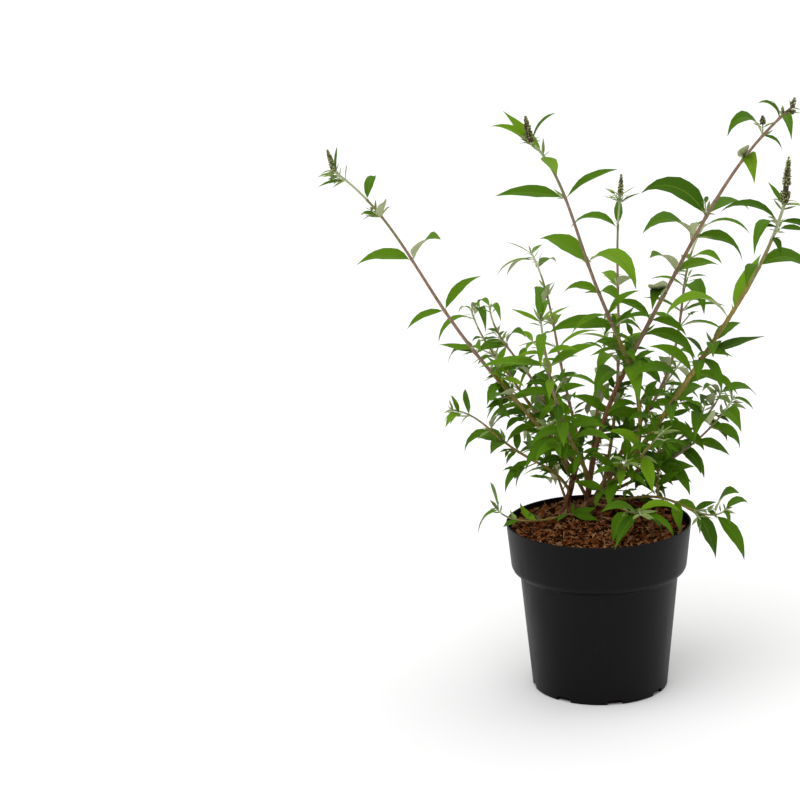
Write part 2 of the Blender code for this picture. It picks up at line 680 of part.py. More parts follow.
def crown_form(extra=0.0):
    """Low mound of wood that joins the stems of the stump, sunk below the level of the bark."""
    middle = Vector((CROWN_X, CROWN_Y, SOIL_SEAT_HEIGHT + GAP))
    length, width = CROWN_REACH
    rise = CROWN_RISE + extra
    vertices = [middle - Vector((0, 0, rise))]
    for share, height in CROWN_RINGS:
        for side in range(CROWN_SIDES):
            angle = 2 * math.pi * side / CROWN_SIDES
            vertices.append(middle + Vector(((length * share + extra) * math.cos(angle),
                                             (width * share + extra) * math.sin(angle), rise * height)))
    vertices.append(middle + Vector((0, 0, rise)))
    return vertices, spindle_faces(len(CROWN_RINGS), CROWN_SIDES)


def make_stump(limbs):
    """The old wood: three flared stems and the crown that joins them, cut flat at the bark."""
    stump = mesh_object("stump", crown_form())
    shape_by(stump, [limbs[stem.name].form(0, 1, STEM_SIDES, WOOD_RUN) for stem in STUMP])
    base = SOIL_SEAT_HEIGHT + GAP
    reach = POT_RIM_RADIUS
    corners = [Vector((x * reach, y * reach, z)) for z in (base - reach, base)
               for x in (-1, 1) for y in (-1, 1)]
    shape_by(stump, [(corners, BOX_FACES)], "DIFFERENCE")
    return stump


@dataclass(frozen=True)
class Joint:
    """One joint of a cane: its distance from the foot in millimetres and the leaves it bears."""

    place: float
    leaves: tuple
    measured: bool


def leaf_size(share):
    """Share of a cane's longest leaf that its leaves have at a share of the way along it."""
    foot, middle, tip = LEAF_PROFILE
    if share < 0.5:
        return foot + (middle - foot) * share * 2
    return middle + (tip - middle) * (share - 0.5) * 2


def leaf_pair(rng, share, heading, fall, lengths):
    """Two leaves that face each other across a stem, narrower ones near the tip of the cane."""
    rolls = [rng.uniform(-LEAF_ROLL, LEAF_ROLL) for _ in range(2)]
    slender = 1 - TIP_NARROWING * max(0.0, share - TIP_SHARE) / (1 - TIP_SHARE)
    return tuple(Leaf(heading + 180 * side, length, fall, roll, slender)
                 for side, (length, roll) in enumerate(zip(lengths, rolls)) if length)


def cane_joints(cane):
    """Joints of a cane: the measured ones, and those the rule adds between them low down."""
    rng = random.Random(cane.seed)
    measured = [pair[0] for pair in cane.pairs]
    joints = []
    place = cane.bare + FIRST_JOINT
    turn = cane.phase
    least = cane.joint * LEAST_JOINT
    while place < cane.full:
        close = [other for other in measured if abs(place - other) < least]
        if close:
            place = max(close) + least + 1
            continue
        share = place / cane.length
        size = cane.leaf * leaf_size(share) * (1 + rng.uniform(-SIZE_JITTER, SIZE_JITTER))
        heading = turn + rng.uniform(-PAIR_JITTER, PAIR_JITTER)
        fall = LEAF_FALL * (1 - FALL_LOSS * share) + rng.uniform(-FALL_JITTER, FALL_JITTER)
        pair = leaf_pair(rng, share, heading, fall, (size, SECOND_LEAF * size))
        joints.append(Joint(place, pair, False))
        place += cane.joint * (1 - JOINT_LOSS * share)
        turn += 90
    for place, heading, fall, *lengths in cane.pairs:
        joints.append(Joint(place, leaf_pair(rng, place / cane.length, heading, fall, lengths), True))
    return joints


def blade_of(form):
    """A leaf's form without its root point, closed across its first station."""
    vertices, faces = form
    kept = [tuple(index - 1 for index in face) for face in faces if 0 not in face]
    return vertices[1:], kept + [tuple(range(LEAF_RING))]


def shoot_start(cane):
    """Share of a cane where its shoot begins, just clear of its bough."""
    return (cane.bare + GAP / MM) / cane.length


class Bush:
    """Grows the leaves and twigs of every cane, each one clear of all that stands already."""

    def __init__(self, limbs, solids):
        self.limbs = limbs
        self.thicket = Thicket()
        for name, form in solids:
            self.thicket.add(name, form)
        self.shoots = {}
        for cane in CANES:
            stem = self.shoot_stem(cane)
            self.shoots[cane.name] = [stem]
            self.thicket.add(cane.name, stem)
            for form in self.bud_forms(cane):
                self.shoots[cane.name].append(form)
                self.thicket.add(cane.name, form, form)

    def shoot_stem(self, cane):
        """Stem of a shoot from its bare foot to its tip."""
        return self.limbs[cane.name].form(shoot_start(cane), 1, SHOOT_SIDES)

    def bud_forms(self, cane):
        """Spike of buds at the tip of a cane and the smaller heads on stalks beside it."""
        points = self.limbs[cane.name].points
        forms = []
        if cane.spike:
            tip, way = at(points, 1 - SPIKE_SUNK / cane.length)
            aim = (way + UP * SPIKE_RISE).normalized()
            forms.append(spike_form(tip, aim, cane.spike * MM, SPIKE_SLENDER * cane.spike * MM))
        for place, heading, spread, stalk, length in cane.heads:
            way = at(points, place / cane.length)[1]
            root = self.limbs[cane.name].seat(place / cane.length, shoot_start(cane))
            aim = spread_from(way, outward(way, heading), spread)
            top = root + aim * (stalk * MM)
            forms.append(tube([(root, aim, STALK_RADIUS), (top, aim, STALK_RADIUS)], TWIG_SIDES))
            foot = top - aim * (HEAD_SUNK * MM)
            forms.append(spike_form(foot, aim, length * MM, HEAD_WIDTH * length * MM))
        return forms

    def try_leaf(self, owner, root, way, sink, leaf):
        """Grow one leaf where it stands clear, in its own place or one of the turns near it."""
        for turned, fallen in LEAF_TRIES:
            form = leaf_form(root, way, sink, leaf, turned, fallen, LEAF_CLEARANCE)
            if self.thicket.is_clear(owner, form, blade_of(form)):
                form = leaf_form(root, way, sink, leaf, turned, fallen)
                self.thicket.add(owner, form, blade_of(form))
                self.shoots[owner].append(form)
                return

    def grow_leaves(self, measured):
        """Grow the leaves of every cane that were measured, or the ones the rule adds below them."""
        for cane in CANES:
            limb = self.limbs[cane.name]
            for joint in cane_joints(cane):
                if joint.measured != measured:
                    continue
                share = min(joint.place, cane.length - LAST_JOINT) / cane.length
                root = limb.seat(share, shoot_start(cane))
                for leaf in joint.leaves:
                    self.try_leaf(cane.name, root, at(limb.points, share)[1], limb.radius(share), leaf)

    def grow_tufts(self):
        """Grow a small leafy twig in the axils of some leaves."""
        for cane in CANES:
            limb = self.limbs[cane.name]
            for index, joint in enumerate(cane_joints(cane)):
                rng = random.Random(cane.seed * 1000 + index)
                for leaf in joint.leaves:
                    chance = rng.random()
                    length = cane.tuft_length * rng.uniform(*TUFT_SIZES)
                    turn = leaf.heading + rng.uniform(-PAIR_JITTER, PAIR_JITTER)
                    rolls = [rng.uniform(-LEAF_ROLL, LEAF_ROLL) for _ in range(2)]
                    if chance < cane.tufts:
                        share = joint.place / cane.length
                        root = limb.seat(share, shoot_start(cane))
                        self.try_tuft(cane.name, root, at(limb.points, share)[1], length, turn, rolls)

    def try_tuft(self, owner, root, way, length, turn, rolls):
        """Grow one twig with a pair of small leaves near its tip, if its stem stands clear."""
        aim = spread_from(way, outward(way, turn), TUFT_SPREAD)
        tip = root + aim * (length * MM)
        thick, thin = TUFT_RADII
        twig = tube([(root, aim, thick), (tip, aim, thin)], TWIG_SIDES)
        outer = tube([(root + (tip - root) * TWIG_OUTER, aim, thick), (tip, aim, thin)], TWIG_SIDES)
        if not self.thicket.is_clear(owner, twig, outer):
            return
        self.thicket.add(owner, twig, outer)
        self.shoots[owner].append(twig)
        for side in range(2):
            leaf = Leaf(turn + 90 + 180 * side, TUFT_LEAF_SIZE * length, LEAF_FALL * TUFT_LEAF_FALL,
                        rolls[side])
            self.try_leaf(owner, root + (tip - root) * TUFT_LEAF_PLACE, aim, thin, leaf)


def make_boughs(limbs):
    """The bare foot of every cane, cut to stand clear of its parent and of the boughs before it."""
    placed = [limbs[stem.name].form(0, 1, STEM_SIDES, WOOD_RUN, GAP) for stem in STUMP]
    placed.append(crown_form(GAP))
    boughs = []
    for cane in CANES:
        limb = limbs[cane.name]
        end = cane.bare / cane.length
        bough = mesh_object("bough_" + cane.name, limb.form(0, end, BOUGH_SIDES))
        hull = Hull(form_of(bough))
        near = [form for form in placed if hull.cuts(Hull(form))]
        shape_by(bough, near, "DIFFERENCE")
        keep_largest(bough)
        placed.append(limb.form(0, end, BOUGH_SIDES, STEM_RUN, GAP))
        boughs.append(bough)
    return boughs


def form_of(item):
    """Vertices and faces of an object's mesh, which stands in the world frame."""
    return [v.co.copy() for v in item.data.vertices], [tuple(p.vertices) for p in item.data.polygons]


def make_shoots(bush):
    """One solid for every shoot: its stem with all its twigs, leaves and buds joined on."""
    shoots = []
    for cane in CANES:
        stem, *rest = bush.shoots[cane.name]
        shoot = mesh_object("shoot_" + cane.name, stem)
        shape_by(shoot, rest)
        shoots.append(shoot)
    return shoots


def paint(items, name):
    """Give the items one plain material slot."""
    colour, roughness = FINISHES[name]
    material = bpy.data.materials.new(name)
    material.use_nodes = True
    shader = material.node_tree.nodes["Principled BSDF"]
    shader.inputs["Base Color"].default_value = (*colour, 1)
    shader.inputs["Roughness"].default_value = roughness
    for item in items:
        item.data.materials.clear()
        item.data.materials.append(material)
        for face in item.data.polygons:
            face.material_index = 0


def main():
    """Build the pot, the bark, the stump, the boughs and the leafy shoots."""
    for item in list(bpy.data.objects):
        bpy.data.objects.remove(item)
    limbs = grow_limbs()
    pot = make_pot()
    soil = make_soil()
    stump = make_stump(limbs)
    boughs = make_boughs(limbs)
    solids = [(item.name, form_of(item)) for item in (pot, soil, stump, *boughs)]
    bush = Bush(limbs, solids)
    bush.grow_leaves(measured=True)
    bush.grow_leaves(measured=False)
    bush.grow_tufts()
    shoots = make_shoots(bush)
    paint([pot], "pot_plastic")
    paint([soil], "potting_bark")
    paint([stump, *boughs], "young_wood")
    paint(shoots, "foliage")


main()
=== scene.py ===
"""Looks of the potted butterfly bush: leaves, canes, old wood, buds, potting bark, pot and studio.

Units are metres and Z is up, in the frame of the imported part: the origin is the centre of the pot's
underside, X runs to the right of the front view and Y away from it. Plant sizes are in millimetres
and degrees: a heading is a direction in plan (0 = +X, 90 = away from the front) and a lean is an
angle from upright. The bush grows by the same rule as the part's solids, carried to finer leaves.
"""

import json
import logging
import math
import random
from collections.abc import Iterable, Iterator, Sequence
from dataclasses import dataclass, field, replace
from enum import Enum, IntEnum
from functools import cached_property

import bmesh
import bpy
from bpy.types import Material, Mesh, Node, NodeSocket, NodeTree, Object
from mathutils import Matrix, Vector
from mathutils.bvhtree import BVHTree

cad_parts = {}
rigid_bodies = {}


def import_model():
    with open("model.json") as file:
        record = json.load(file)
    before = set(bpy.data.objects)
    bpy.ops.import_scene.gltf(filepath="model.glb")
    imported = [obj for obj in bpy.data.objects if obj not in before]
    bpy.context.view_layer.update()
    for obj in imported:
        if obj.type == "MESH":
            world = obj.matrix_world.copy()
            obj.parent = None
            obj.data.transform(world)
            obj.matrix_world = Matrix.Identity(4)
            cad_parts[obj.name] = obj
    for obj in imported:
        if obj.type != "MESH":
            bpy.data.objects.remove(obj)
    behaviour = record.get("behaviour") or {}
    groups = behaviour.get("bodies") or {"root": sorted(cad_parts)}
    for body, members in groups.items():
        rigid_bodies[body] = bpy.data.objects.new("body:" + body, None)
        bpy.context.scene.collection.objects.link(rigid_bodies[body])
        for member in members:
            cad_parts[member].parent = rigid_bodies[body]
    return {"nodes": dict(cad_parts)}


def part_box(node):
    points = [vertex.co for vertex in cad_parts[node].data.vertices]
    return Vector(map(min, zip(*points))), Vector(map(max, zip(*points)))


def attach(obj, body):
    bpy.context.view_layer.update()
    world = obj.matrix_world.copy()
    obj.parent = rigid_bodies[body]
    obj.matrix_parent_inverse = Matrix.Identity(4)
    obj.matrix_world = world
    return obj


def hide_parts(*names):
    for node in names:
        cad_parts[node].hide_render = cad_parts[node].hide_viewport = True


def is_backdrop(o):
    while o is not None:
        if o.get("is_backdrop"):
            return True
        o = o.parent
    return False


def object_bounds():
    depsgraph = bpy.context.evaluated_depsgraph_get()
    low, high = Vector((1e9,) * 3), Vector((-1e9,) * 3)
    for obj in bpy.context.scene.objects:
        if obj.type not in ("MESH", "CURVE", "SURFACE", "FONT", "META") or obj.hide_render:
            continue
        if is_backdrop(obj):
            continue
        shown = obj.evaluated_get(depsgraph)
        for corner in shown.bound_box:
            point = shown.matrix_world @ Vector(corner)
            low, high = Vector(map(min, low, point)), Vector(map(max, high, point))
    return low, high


MM = 0.001
GAP = 0.0003
PARALLEL = 1e-6
SPRAYS = 1000
TURN = 2 * math.pi
EAST = Vector((1, 0, 0))
AWAY = Vector((0, 1, 0))
UP = Vector((0, 0, 1))
BODY = "root"
DEAD = "dead wood"

Form = tuple[list[Vector], list[tuple[int, ...]]]
Ring = tuple[Vector, Vector, float]
Triple = tuple[float, float, float]
Pair = tuple[float, float]

log = logging.getLogger("butterfly_bush")


class Slot(Enum):
    """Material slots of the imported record."""

    PLASTIC = "pot_plastic"
    BARK = "potting_bark"
    WOOD = "young_wood"
    FOLIAGE = "foliage"


class Tint(Enum):
    """Greens dealt out to whole sprays of leaves."""

    DEEP = "deep"
    GRASS = "grass"
    FRESH = "fresh"
    BRIGHT = "bright"
    YOUNG = "young"
    DRY = "dry"


class Tone(Enum):
    """Skins that a cane has from its old foot to its young tip."""

    GREY = "grey"
    OLIVE = "olive"
    PURPLE = "purple"
    BROWN = "brown"
    GREEN = "green"
    FELTED = "felted"
    SPIKE = "spike"


# Nodes: sheets of nodes, and the outputs on them that take Python's operators


class Signal:
    """An output of a node. Python's operators on a number that leaves it add Math nodes to its sheet."""

    def __init__(self, sheet: "Sheet", socket: NodeSocket) -> None:
        """Keep the sheet and the output socket."""
        self.sheet = sheet
        self.socket = socket

    def _math(self, operation: str, first: object, second: object) -> "Signal":
        """Result of one Math node on two values."""
        return self.sheet.take("ShaderNodeMath", {0: first, 1: second}, operation=operation)

    def __add__(self, other: object) -> "Signal":
        """Sum."""
        return self._math("ADD", self, other)

    def __mul__(self, other: object) -> "Signal":
        """Product."""
        return self._math("MULTIPLY", self, other)

    def __sub__(self, other: object) -> "Signal":
        """Difference."""
        return self._math("SUBTRACT", self, other)

    def __rsub__(self, other: object) -> "Signal":
        """Difference from a plain number."""
        return self._math("SUBTRACT", other, self)

    __radd__ = __add__
    __rmul__ = __mul__

    def between(self, low: float, high: float) -> "Signal":
        """How far the number has come from low to high, held within 0 and 1."""
        ends = {"Value": self, "From Min": low, "From Max": high}
        return self.sheet.take("ShaderNodeMapRange", ends, clamp=True)


class Sheet:
    """A node tree that is filled in by one method."""

    def __init__(self, tree: NodeTree) -> None:
        """Keep the tree to add to."""
        self.tree = tree

    def feed(self, socket: NodeSocket, value: object) -> None:
        """Link an input socket to a signal, or set its plain value."""
        if isinstance(value, Signal):
            self.tree.links.new(value.socket, socket)
        else:
            socket.default_value = value

    def add(self, kind: str, inputs: dict | None = None, **settings: object) -> Node:
        """Add one node.

        Args:
            kind: the node's type.
            inputs: values or signals by the name or index of a socket.
            settings: the node's own properties, set before its sockets.

        Returns:
            The new node.
        """
        node = self.tree.nodes.new(kind)
        for name, value in settings.items():
            setattr(node, name, value)
        for key, value in (inputs or {}).items():
            self.feed(node.inputs[key], value)
        return node

    def take(self, kind: str, inputs: dict | None = None, output: str | int = 0,
             **settings: object) -> Signal:
        """Add one node, as add does, and take one of its outputs by name or index."""
        return Signal(self, self.add(kind, inputs, **settings).outputs[output])


class SkinSheet(Sheet):
    """Node sheet of one material with a Principled shader, read in object coordinates."""

    def __init__(self, name: str, specular: float) -> None:
        """Start a material with a plain specular level.

        Args:
            name: the material's name.
            specular: the specular level.
        """
        self.material = bpy.data.materials.new(name)
        self.material.use_nodes = True
        super().__init__(self.material.node_tree)
        self.shader = self.tree.nodes["Principled BSDF"]
        self.feed(self.shader.inputs["Specular IOR Level"], specular)
        self.places = self.take("ShaderNodeTexCoord", output="Object")

    def stretched(self, scale: Triple) -> Signal:
        """Object coordinates with each axis scaled."""
        return self.take("ShaderNodeMapping", {"Vector": self.places, "Scale": scale})

    def noise(self, scale: float, detail: float = 3.0, stretch: Triple = (1, 1, 1),
              roughness: float = 0.55) -> Signal:
        """Fractal noise, scale grains to the metre; a small stretch draws them out along its axis."""
        inputs = {"Vector": self.stretched(stretch), "Scale": scale, "Detail": detail,
                  "Roughness": roughness}
        return self.take("ShaderNodeTexNoise", inputs, "Fac")

    def cells(self, scale: float, feature: str, stretch: Triple = (1, 1, 1)) -> Signal:
        """Distance within a pattern of cells, scale to the metre: F1 or DISTANCE_TO_EDGE."""
        inputs = {"Vector": self.stretched(stretch), "Scale": scale}
        return self.take("ShaderNodeTexVoronoi", inputs, "Distance", feature=feature)

    def mix(self, share: object, first: object, second: object) -> Signal:
        """Blend of two colours, each a linear colour or a signal; share is how much of the second shows."""
        ends = [(*colour, 1.0) if isinstance(colour, tuple) else colour for colour in (first, second)]
        return self.take("ShaderNodeMix", {0: share, 6: ends[0], 7: ends[1]}, 2, data_type="RGBA")

    def finish(self, colour: object, roughness: object, height: Signal | None = None,
               depth: float = 0.0, strength: float = 1.0) -> Material:
        """Connect the shader and hand the material over.

        Args:
            colour: base colour, a signal or a plain linear colour.
            roughness: a signal or a plain number.
            height: relief from 0 to 1, or None.
            depth: height of the relief in metres.
            strength: how strongly the relief shows.

        Returns:
            The finished material.
        """
        plain = isinstance(colour, tuple)
        self.feed(self.shader.inputs["Base Color"], (*colour, 1.0) if plain else colour)
        self.feed(self.shader.inputs["Roughness"], roughness)
        if height:
            bump = {"Height": height, "Distance": depth, "Strength": strength}
            self.feed(self.shader.inputs["Normal"], self.take("ShaderNodeBump", bump))
        return self.material


# Finishes


@dataclass(frozen=True)
class Finish:
    """A finish with its main colour."""

    name: str
    body: Triple

    def darker(self, share: float) -> Triple:
        """The main colour at a share of its brightness."""
        return tuple(c * share for c in self.body)

    def make(self) -> Material:
        """Build the material."""
        raise NotImplementedError


@dataclass(frozen=True)
class LeafSkin(Finish):
    """Upper face of a leaf: one satin green for a whole spray, with a fine net of veins."""

    roughness: float = 0.58
    specular: float = 0.07
    grains: float = 900.0
    mesh: float = 560.0
    vein_depth: float = 0.00020

    def make(self) -> Material:
        """Build the material."""
        sheet = SkinSheet(self.name, self.specular)
        grain = sheet.noise(self.grains, 2)
        net = sheet.cells(self.mesh, "DISTANCE_TO_EDGE")
        height = net.between(0.0, 0.25) * 0.7 + grain * 0.3
        return sheet.finish(self.body, self.roughness - 0.10 + grain * 0.20, height, self.vein_depth, 0.6)


@dataclass(frozen=True)
class FeltSkin(Finish):
    """Pale felt of hairs, as on the undersides of leaves and on young tips."""

    hairs: float = 1500.0
    detail: float = 3.0
    roughness: float = 0.76
    specular: float = 0.08
    depth: float = 0.00015
    strength: float = 0.5

    def make(self) -> Material:
        """Build the material."""
        sheet = SkinSheet(self.name, self.specular)
        felt = sheet.noise(self.hairs, self.detail)
        return sheet.finish(self.body, self.roughness + felt * 0.2, felt, self.depth, self.strength)


@dataclass(frozen=True)
class BudSkin(FeltSkin):
    """Small felted flower buds."""

    hairs: float = 1800.0
    detail: float = 2.0
    roughness: float = 0.70
    specular: float = 0.10
    depth: float = 0.0002
    strength: float = 0.6


@dataclass(frozen=True)
class CaneSkin(Finish):
    """Bark of a cane: fine lengthwise streaks with small pale pores."""

    streak: Triple
    streaks: float = 700.0
    drifts: float = 45.0
    pores: float = 420.0
    roughness: float = 0.52
    specular: float = 0.14
    depth: float = 0.00025

    def make(self) -> Material:
        """Build the material."""
        sheet = SkinSheet(self.name, self.specular)
        streaks = sheet.noise(self.streaks, 3, (1, 1, 0.10))
        drift = sheet.noise(self.drifts, 2, (1, 1, 0.5))
        pores = sheet.cells(self.pores, "F1", (1, 1, 0.45))
        colour = sheet.mix(streaks.between(0.38, 0.66), self.body, self.streak)
        colour = sheet.mix(drift.between(0.45, 0.75) * 0.6, colour, self.darker(0.55))
        light = tuple(min(1.0, c * 1.8 + 0.03) for c in self.streak)
        colour = sheet.mix((1 - pores.between(0.10, 0.22)) * 0.5, colour, light)
        height = streaks * 0.8 + (1 - pores.between(0.1, 0.25)) * 0.2
        return sheet.finish(colour, self.roughness + streaks * 0.2, height, self.depth, 0.7)


@dataclass(frozen=True)
class OldBark(Finish):
    """Cracked, peeling bark of the old wood."""

    crack: Triple
    peel: Triple
    fibres: float = 420.0
    patches: float = 85.0
    cracks: float = 190.0
    specular: float = 0.10
    depth: float = 0.0007

    def make(self) -> Material:
        """Build the material."""
        sheet = SkinSheet(self.name, self.specular)
        fibres = sheet.noise(self.fibres, 5, (1, 0.8, 0.22), 0.62)
        patches = sheet.noise(self.patches, 3, (1, 1, 0.45))
        cracks = sheet.cells(self.cracks, "DISTANCE_TO_EDGE", (1, 1, 0.28))
        colour = sheet.mix(fibres.between(0.35, 0.68), self.crack, self.body)
        colour = sheet.mix(patches.between(0.52, 0.68) * 0.75, colour, self.peel)
        colour = sheet.mix((1 - cracks.between(0.0, 0.10)) * 0.7, colour, self.crack)
        height = fibres * 0.6 + cracks.between(0.0, 0.3) * 0.4
        return sheet.finish(colour, 0.75 + fibres * 0.2, height, self.depth, 0.9)


@dataclass(frozen=True)
class CutWood(Finish):
    """Pale sawn end of a stem, with rings round its pith."""

    ring: Triple
    pith: Triple
    rings: float = 260.0
    wander: float = 2.5
    grains: float = 1300.0
    roughness: float = 0.8
    specular: float = 0.10
    depth: float = 0.0003

    def make(self) -> Material:
        """Build the material."""
        sheet = SkinSheet(self.name, self.specular)
        moved = sheet.take("ShaderNodeMapping", {"Vector": sheet.places,
                                                 "Location": tuple(-c for c in self.pith)})
        inputs = {"Vector": moved, "Scale": self.rings, "Distortion": self.wander, "Detail": 2.0,
                  "Detail Scale": 2.0}
        wave = sheet.take("ShaderNodeTexWave", inputs, "Fac", wave_type="RINGS",
                          rings_direction="SPHERICAL")
        grain = sheet.noise(self.grains, 3)
        colour = sheet.mix(wave * 0.7 + grain * 0.3, self.body, self.ring)
        return sheet.finish(colour, self.roughness, grain, self.depth, 0.8)


@dataclass(frozen=True)
class BarkChip(Finish):
    """Chips, crumbs and fibres of potting bark."""

    light: Triple
    fibres: float = 520.0
    spots: float = 90.0
    specular: float = 0.03
    depth: float = 0.0004

    def make(self) -> Material:
        """Build the material."""
        sheet = SkinSheet(self.name, self.specular)
        fibres = sheet.noise(self.fibres, 4, (1, 0.35, 1))
        spread = sheet.noise(self.spots, 3)
        colour = sheet.mix(fibres.between(0.35, 0.62), self.darker(0.40), self.body)
        colour = sheet.mix(spread.between(0.50, 0.72) * 0.8, colour, self.light)
        return sheet.finish(colour, 0.78 + fibres * 0.2, fibres, self.depth, 0.9)


@dataclass(frozen=True)
class BlackPlastic(Finish):
    """Matte black moulded plastic with scuffs and a few specks of dust."""

    scuff: Triple
    dust: Triple
    clouds: float = 18.0
    grains: float = 1400.0
    scuffs: float = 60.0
    specks: float = 85.0
    flurries: float = 22.0
    specular: float = 0.12
    depth: float = 0.00012

    def make(self) -> Material:
        """Build the material."""
        sheet = SkinSheet(self.name, self.specular)
        cloud = sheet.noise(self.clouds, 3)
        grain = sheet.noise(self.grains, 2)
        rubbed = sheet.noise(self.scuffs, 4, (1, 1, 0.25))
        worn = rubbed.between(0.52, 0.75) * 0.5 + cloud.between(0.4, 0.7) * 0.25
        dusty = sheet.noise(self.flurries, 2).between(0.60, 0.66)
        speck = (1 - sheet.cells(self.specks, "F1").between(0.05, 0.09)) * dusty
        colour = sheet.mix(speck, sheet.mix(worn, self.body, self.scuff), self.dust)
        roughness = 0.36 + cloud * 0.12 + rubbed.between(0.5, 0.75) * 0.12 + speck * 0.3
        return sheet.finish(colour, roughness, grain * 0.5 + speck * 0.5, self.depth, 0.35)


@dataclass(frozen=True)
class PaleFloor(Finish):
    """Plain pale studio floor."""

    roughness: float = 0.9
    specular: float = 0.1

    def make(self) -> Material:
        """Build the material."""
        return SkinSheet(self.name, self.specular).finish(self.body, self.roughness)


# Growth: the rule of the part's solids


@dataclass(frozen=True)
class Stem:
    """One old woody stem of the stump: its foot on the bark, then its heading, lean and length."""

    name: str
    foot: Pair
    heading: float
    lean: float
    length: float
    radii: Pair


@dataclass(frozen=True)
class Cane:
    """One cane: a bare bough from its parent, carried on as the stem of a leafy shoot.

    seat is the share of the parent's length it grows from, bow the change of lean by the tip, sway
    an S-bend and veer the change of heading. joint is the space between leaf pairs, leaf the length
    of the longest leaf and phase the heading of the first pair, where the rule sets the pairs, which
    it does below the distance full. A row of pairs holds a pair's distance from the foot, the heading
    of its first leaf, how far both fall in degrees, and the two lengths; 0 is a leaf that was shed.
    """

    name: str
    parent: str
    seat: float
    heading: float
    lean: float
    bow: float
    power: float
    length: float
    radii: Pair
    bare: float
    seed: int
    sway: float = 0.0
    veer: float = 0.0
    joint: float = 34.0
    phase: float = 0.0
    leaf: float = 56.0
    full: float = 0.0
    spike: float = 0.0
    tufts: float = 0.5
    tuft_length: float = 18.0
    pairs: tuple = ()
    heads: tuple = ()


@dataclass(frozen=True)
class Leaf:
    """One leaf as its rule sets it, before any crowding: angles in degrees, length in millimetres."""

    heading: float
    length: float
    fall: float
    roll: float
    slender: float = 1.0


@dataclass(frozen=True)
class Joint:
    """One joint of a cane: its distance from the foot in millimetres and the leaves it bears."""

    place: float
    leaves: tuple[Leaf, ...]
    measured: bool


STUMP = (
    Stem("left", (-0.035, 0.046), 0, 14, 56, (3.4, 2.8)),
    Stem("middle", (-0.0135, 0.052), -45, 13, 34, (3.4, 3.0)),
    Stem("stub", (-0.018, 0.048), -20, 46, 52, (4.2, 3.9)),
)

